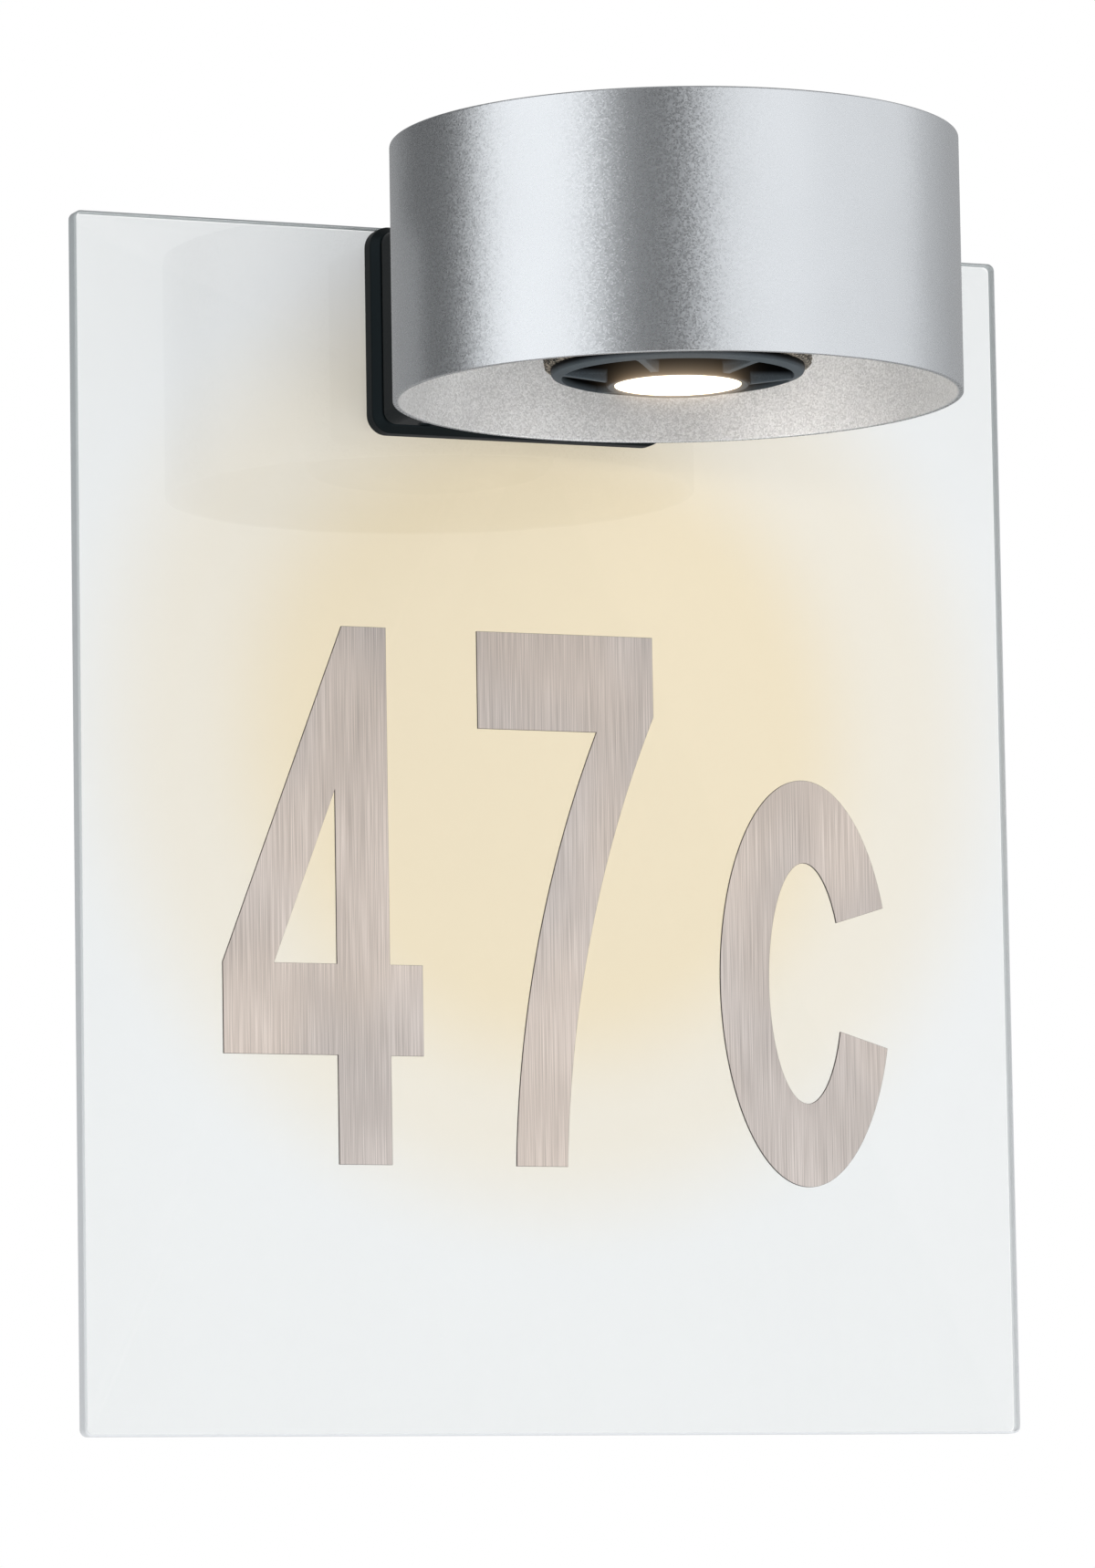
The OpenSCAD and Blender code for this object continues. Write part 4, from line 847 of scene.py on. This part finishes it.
def makeFront(shape):
    # the edges of band and hub slant in by their first size and up by their second
    rim = layout["rimHeight"]
    skirtIn = shape["skirt"] - shape["skirtWall"]
    edgeIn, edgeUp = shape["bandEdge"]
    highOutside, highInside = shape["bandHigh"]
    band = [[shape["bandAt"], rim - shape["drop"]], [shape["radius"] - edgeIn, rim],
            [shape["radius"], rim + edgeUp], [shape["radius"], rim + shape["thick"]],
            [shape["skirt"], rim + shape["thick"]], [shape["skirt"], rim + shape["skirtHigh"]],
            [skirtIn, rim + shape["skirtHigh"]], [skirtIn, rim + highOutside],
            [shape["bandAt"], rim + highInside]]
    hubFoot = rim - shape["hubDrop"]
    hubIn = layout["lensRadius"] + shape["lensGap"]
    edgeIn, edgeUp = shape["hubEdge"]
    hub = [[hubIn, hubFoot + shape["hubRise"]], [shape["hub"] - edgeIn, hubFoot],
           [shape["hub"], hubFoot + edgeUp], [shape["hub"], rim + shape["hubHigh"]],
           [hubIn, rim + shape["hubHigh"]]]
    shells = [spin(roundedPath(band, shape["bandRound"], 5), shape["bandSteps"]),
              spin(roundedPath(hub, shape["hubRound"], 5), shape["hubSteps"])]
    for i in range(shape["spokes"]):
        shells.append(makeSpoke(shape, shape["firstSpoke"] + 360 * i / shape["spokes"]))
    return buildPiece("spokedFront", shells)


standFor(makeFront(frontShape), "lamp_bezel", finishes["spoked_front"])

lensShape = {"foot": -19.7, "crown": 0.5, "edge": 3.95, "edgeIn": 0.05, "shoulder": (1, 0.4),
             "tip": 5.6, "tipAt": -3.85, "steps": 160}


def makeLens(shape, domeSteps=24):
    # the under side is a shallow dome: height = foot + crown (r / radius)^2
    radius = layout["lensRadius"]
    edge = shape["foot"] + shape["edge"]
    r = np.linspace(0, radius - shape["edgeIn"], domeSteps)
    dome = np.stack([r, shape["foot"] + shape["crown"] * (r / radius) ** 2], -1)
    shoulderIn, shoulderUp = shape["shoulder"]
    rest = [[radius, edge], [radius - shoulderIn, edge + shoulderUp],
            [shape["tip"], shape["tipAt"]], [0, shape["tipAt"]]]
    return buildPiece("lampLens", [spin(np.concatenate([dome, rest]), shape["steps"])])


lens = standFor(makeLens(lensShape), "lamp_lens", finishes["lens_clear"])
# its mirror image in the panel is too faint to be seen
lens.visible_glossy = False
print("lamp made")


# Studio: white surroundings whose bright and dark sides shape the silver drum

studioLook = {
    "stops": [(-180, 0.36), (-150, 0.11), (-122, 0.06), (-98, 1.5), (-63, 1.5), (-43, 0.14),
              (-21, 0.09), (-5, 1.2), (18, 1.3), (45, 1.12), (80, 1.05), (100, 0.6),
              (120, 0.45), (180, 0.36)],
    "peak": 1.5, "above": 0.35, "aboveAt": (0.58, 0.80), "below": 1.0, "belowAt": (-0.94, -0.78),
    "colour": (0.995, 0.998, 1.0, 1),
}


def makeStudio(look):
    # Azimuth = arctan2(x, -y), so 0 faces the front and positive turns to the right.
    # The stops fade to "above" and "below" where a direction's height is in the "At" ranges.
    world = bpy.data.worlds.new("studio")
    bpy.context.scene.world = world
    world.use_nodes = True
    tree = world.node_tree
    tree.nodes.clear()
    ray = addNode(tree, "TexCoord").outputs["Generated"]
    parts = addNode(tree, "SeparateXYZ", None, {0: ray}).outputs
    azimuth = combined(tree, "ARCTAN2", parts["X"], combined(tree, "MULTIPLY", parts["Y"], -1.0))
    share = rangeFrom(tree, azimuth, 0.0, 1.0, -math.pi, math.pi)
    stops = [((a + 180) / 360, (v / look["peak"],) * 3) for a, v in look["stops"]]
    band = combined(tree, "MULTIPLY", rampFrom(tree, share, stops, "EASE"), look["peak"])
    toTop = rangeFrom(tree, parts["Z"], 0.0, 1.0, *look["aboveAt"])
    toFoot = rangeFrom(tree, parts["Z"], 1.0, 0.0, *look["belowAt"])
    light = blend(tree, toFoot, blend(tree, toTop, band, look["above"]), look["below"])
    lit = addNode(tree, "Background", None, {"Color": look["colour"], "Strength": light})
    plain = addNode(tree, "Background", None, {"Color": (1, 1, 1, 1)})
    # plain white to the camera, also through the clear sheet
    rays = addNode(tree, "LightPath").outputs
    seen = combined(tree, "MAXIMUM", rays["Is Camera Ray"], rays["Is Transmission Ray"])
    addNode(tree, "OutputWorld", None,
            {"Surface": mixShaders(tree, seen, lit.outputs[0], plain.outputs[0])})


makeStudio(studioLook)

# A wide lamp low in front, and the light's own glow on the wall of the drum behind it
lampLooks = {
    "lowFill": {"kind": "AREA", "place": (100, -1050, -430), "aim": (0, 0, -60),
                "size": (900, 420), "power": 0.6, "colour": (1.0, 0.995, 0.985)},
    "rightGlow": {"kind": "POINT", "place": (30, -60, -18), "radius": 3,
                  "power": 0.015, "colour": (1.0, 0.92, 0.83)},
    "leftGlow": {"kind": "POINT", "place": (2, -51, -18), "radius": 3,
                 "power": 0.002, "colour": (1.0, 0.97, 0.95)},
}


def makeLamp(name, look):
    # only the area lamp has a direction, from its place to its aim
    data = bpy.data.lights.new(name, look["kind"])
    data.energy = look["power"]
    data.color = look["colour"]
    place = Vector(look["place"]) / 1000
    placed = Matrix.Translation(place)
    if look["kind"] == "AREA":
        data.shape = "RECTANGLE"
        data.size = look["size"][0] / 1000
        data.size_y = look["size"][1] / 1000
        aim = Vector(look["aim"]) / 1000 - place
        placed = placed @ aim.to_track_quat("-Z", "Y").to_matrix().to_4x4()
    else:
        data.shadow_soft_size = look["radius"] / 1000
    lamp = bpy.data.objects.new(name, data)
    bpy.context.scene.collection.objects.link(lamp)
    lamp.matrix_world = placed
    lamp.visible_camera = False
    lamp.visible_glossy = False


for lampName, look in lampLooks.items():
    makeLamp(lampName, look)

floorLook = {"height": -2600, "half": 14500, "colour": (0.86, 0.86, 0.86), "spread": 0.02,
             "cloud": 200, "roughness": 0.9, "glow": 0.9}


def makeFloor(look):
    # a flat square far below the light
    half = look["half"] / 1000
    z = look["height"] / 1000
    mesh = bpy.data.meshes.new("paleFloor")
    mesh.from_pydata([(-half, -half, z), (half, -half, z), (half, half, z), (-half, half, z)],
                     [], [(0, 1, 2, 3)])
    floor = bpy.data.objects.new("paleFloor", mesh)
    bpy.context.scene.collection.objects.link(floor)
    material, tree, shader, place = startMaterial(
        "paleFloor", {"Roughness": look["roughness"], "Emission Color": (1, 1, 1, 1),
                      "Emission Strength": look["glow"]})
    cloud = noiseField(tree, place, look["cloud"], 2)
    tree.links.new(rampFrom(tree, cloud, shades(look["colour"], look["spread"])),
                   shader.inputs["Base Color"])
    mesh.materials.append(material)
    # shiny pieces mirror the studio below, not the floor
    floor.visible_glossy = False


makeFloor(floorLook)

# Camera at the photograph's angle
cameraSet = {"place": (-584.42, -1436.28, -263.90), "yaw": 22.5685, "pitch": 6.4704,
             "roll": -0.9229, "lens": 178.4}


def makeCamera(settings):
    # looks along +Y, turned right by the yaw, up by the pitch and about its own axis
    data = bpy.data.cameras.new("photoView")
    data.sensor_width = 36
    data.sensor_fit = "AUTO"
    data.lens = settings["lens"]
    data.clip_start = 0.01
    camera = bpy.data.objects.new("photoView", data)
    bpy.context.scene.collection.objects.link(camera)
    turn = (Matrix.Rotation(math.radians(-settings["yaw"]), 4, "Z")
            @ Matrix.Rotation(math.radians(90 + settings["pitch"]), 4, "X")
            @ Matrix.Rotation(math.radians(settings["roll"]), 4, "Z"))
    camera.matrix_world = Matrix.Translation(Vector(settings["place"]) / 1000) @ turn
    bpy.context.scene.camera = camera


makeCamera(cameraSet)
bpy.context.scene.view_settings.view_transform = "Standard"

# Soft bloom round the lens, the only thing brighter than the threshold
bloomLook = {"Threshold": 1.2, "Strength": 0.6, "Size": 0.05, "Tint": (1.0, 0.82, 0.64, 1)}


def makeBloom(look):
    scene = bpy.context.scene
    scene.use_nodes = True
    tree = scene.node_tree
    tree.nodes.clear()
    picture = tree.nodes.new("CompositorNodeRLayers")
    glare = tree.nodes.new("CompositorNodeGlare")
    glare.glare_type = "BLOOM"
    for socket, value in look.items():
        glare.inputs[socket].default_value = value
    end = tree.nodes.new("CompositorNodeComposite")
    tree.links.new(picture.outputs["Image"], glare.inputs["Image"])
    tree.links.new(glare.outputs["Image"], end.inputs["Image"])


makeBloom(bloomLook)
print("studio and camera set")
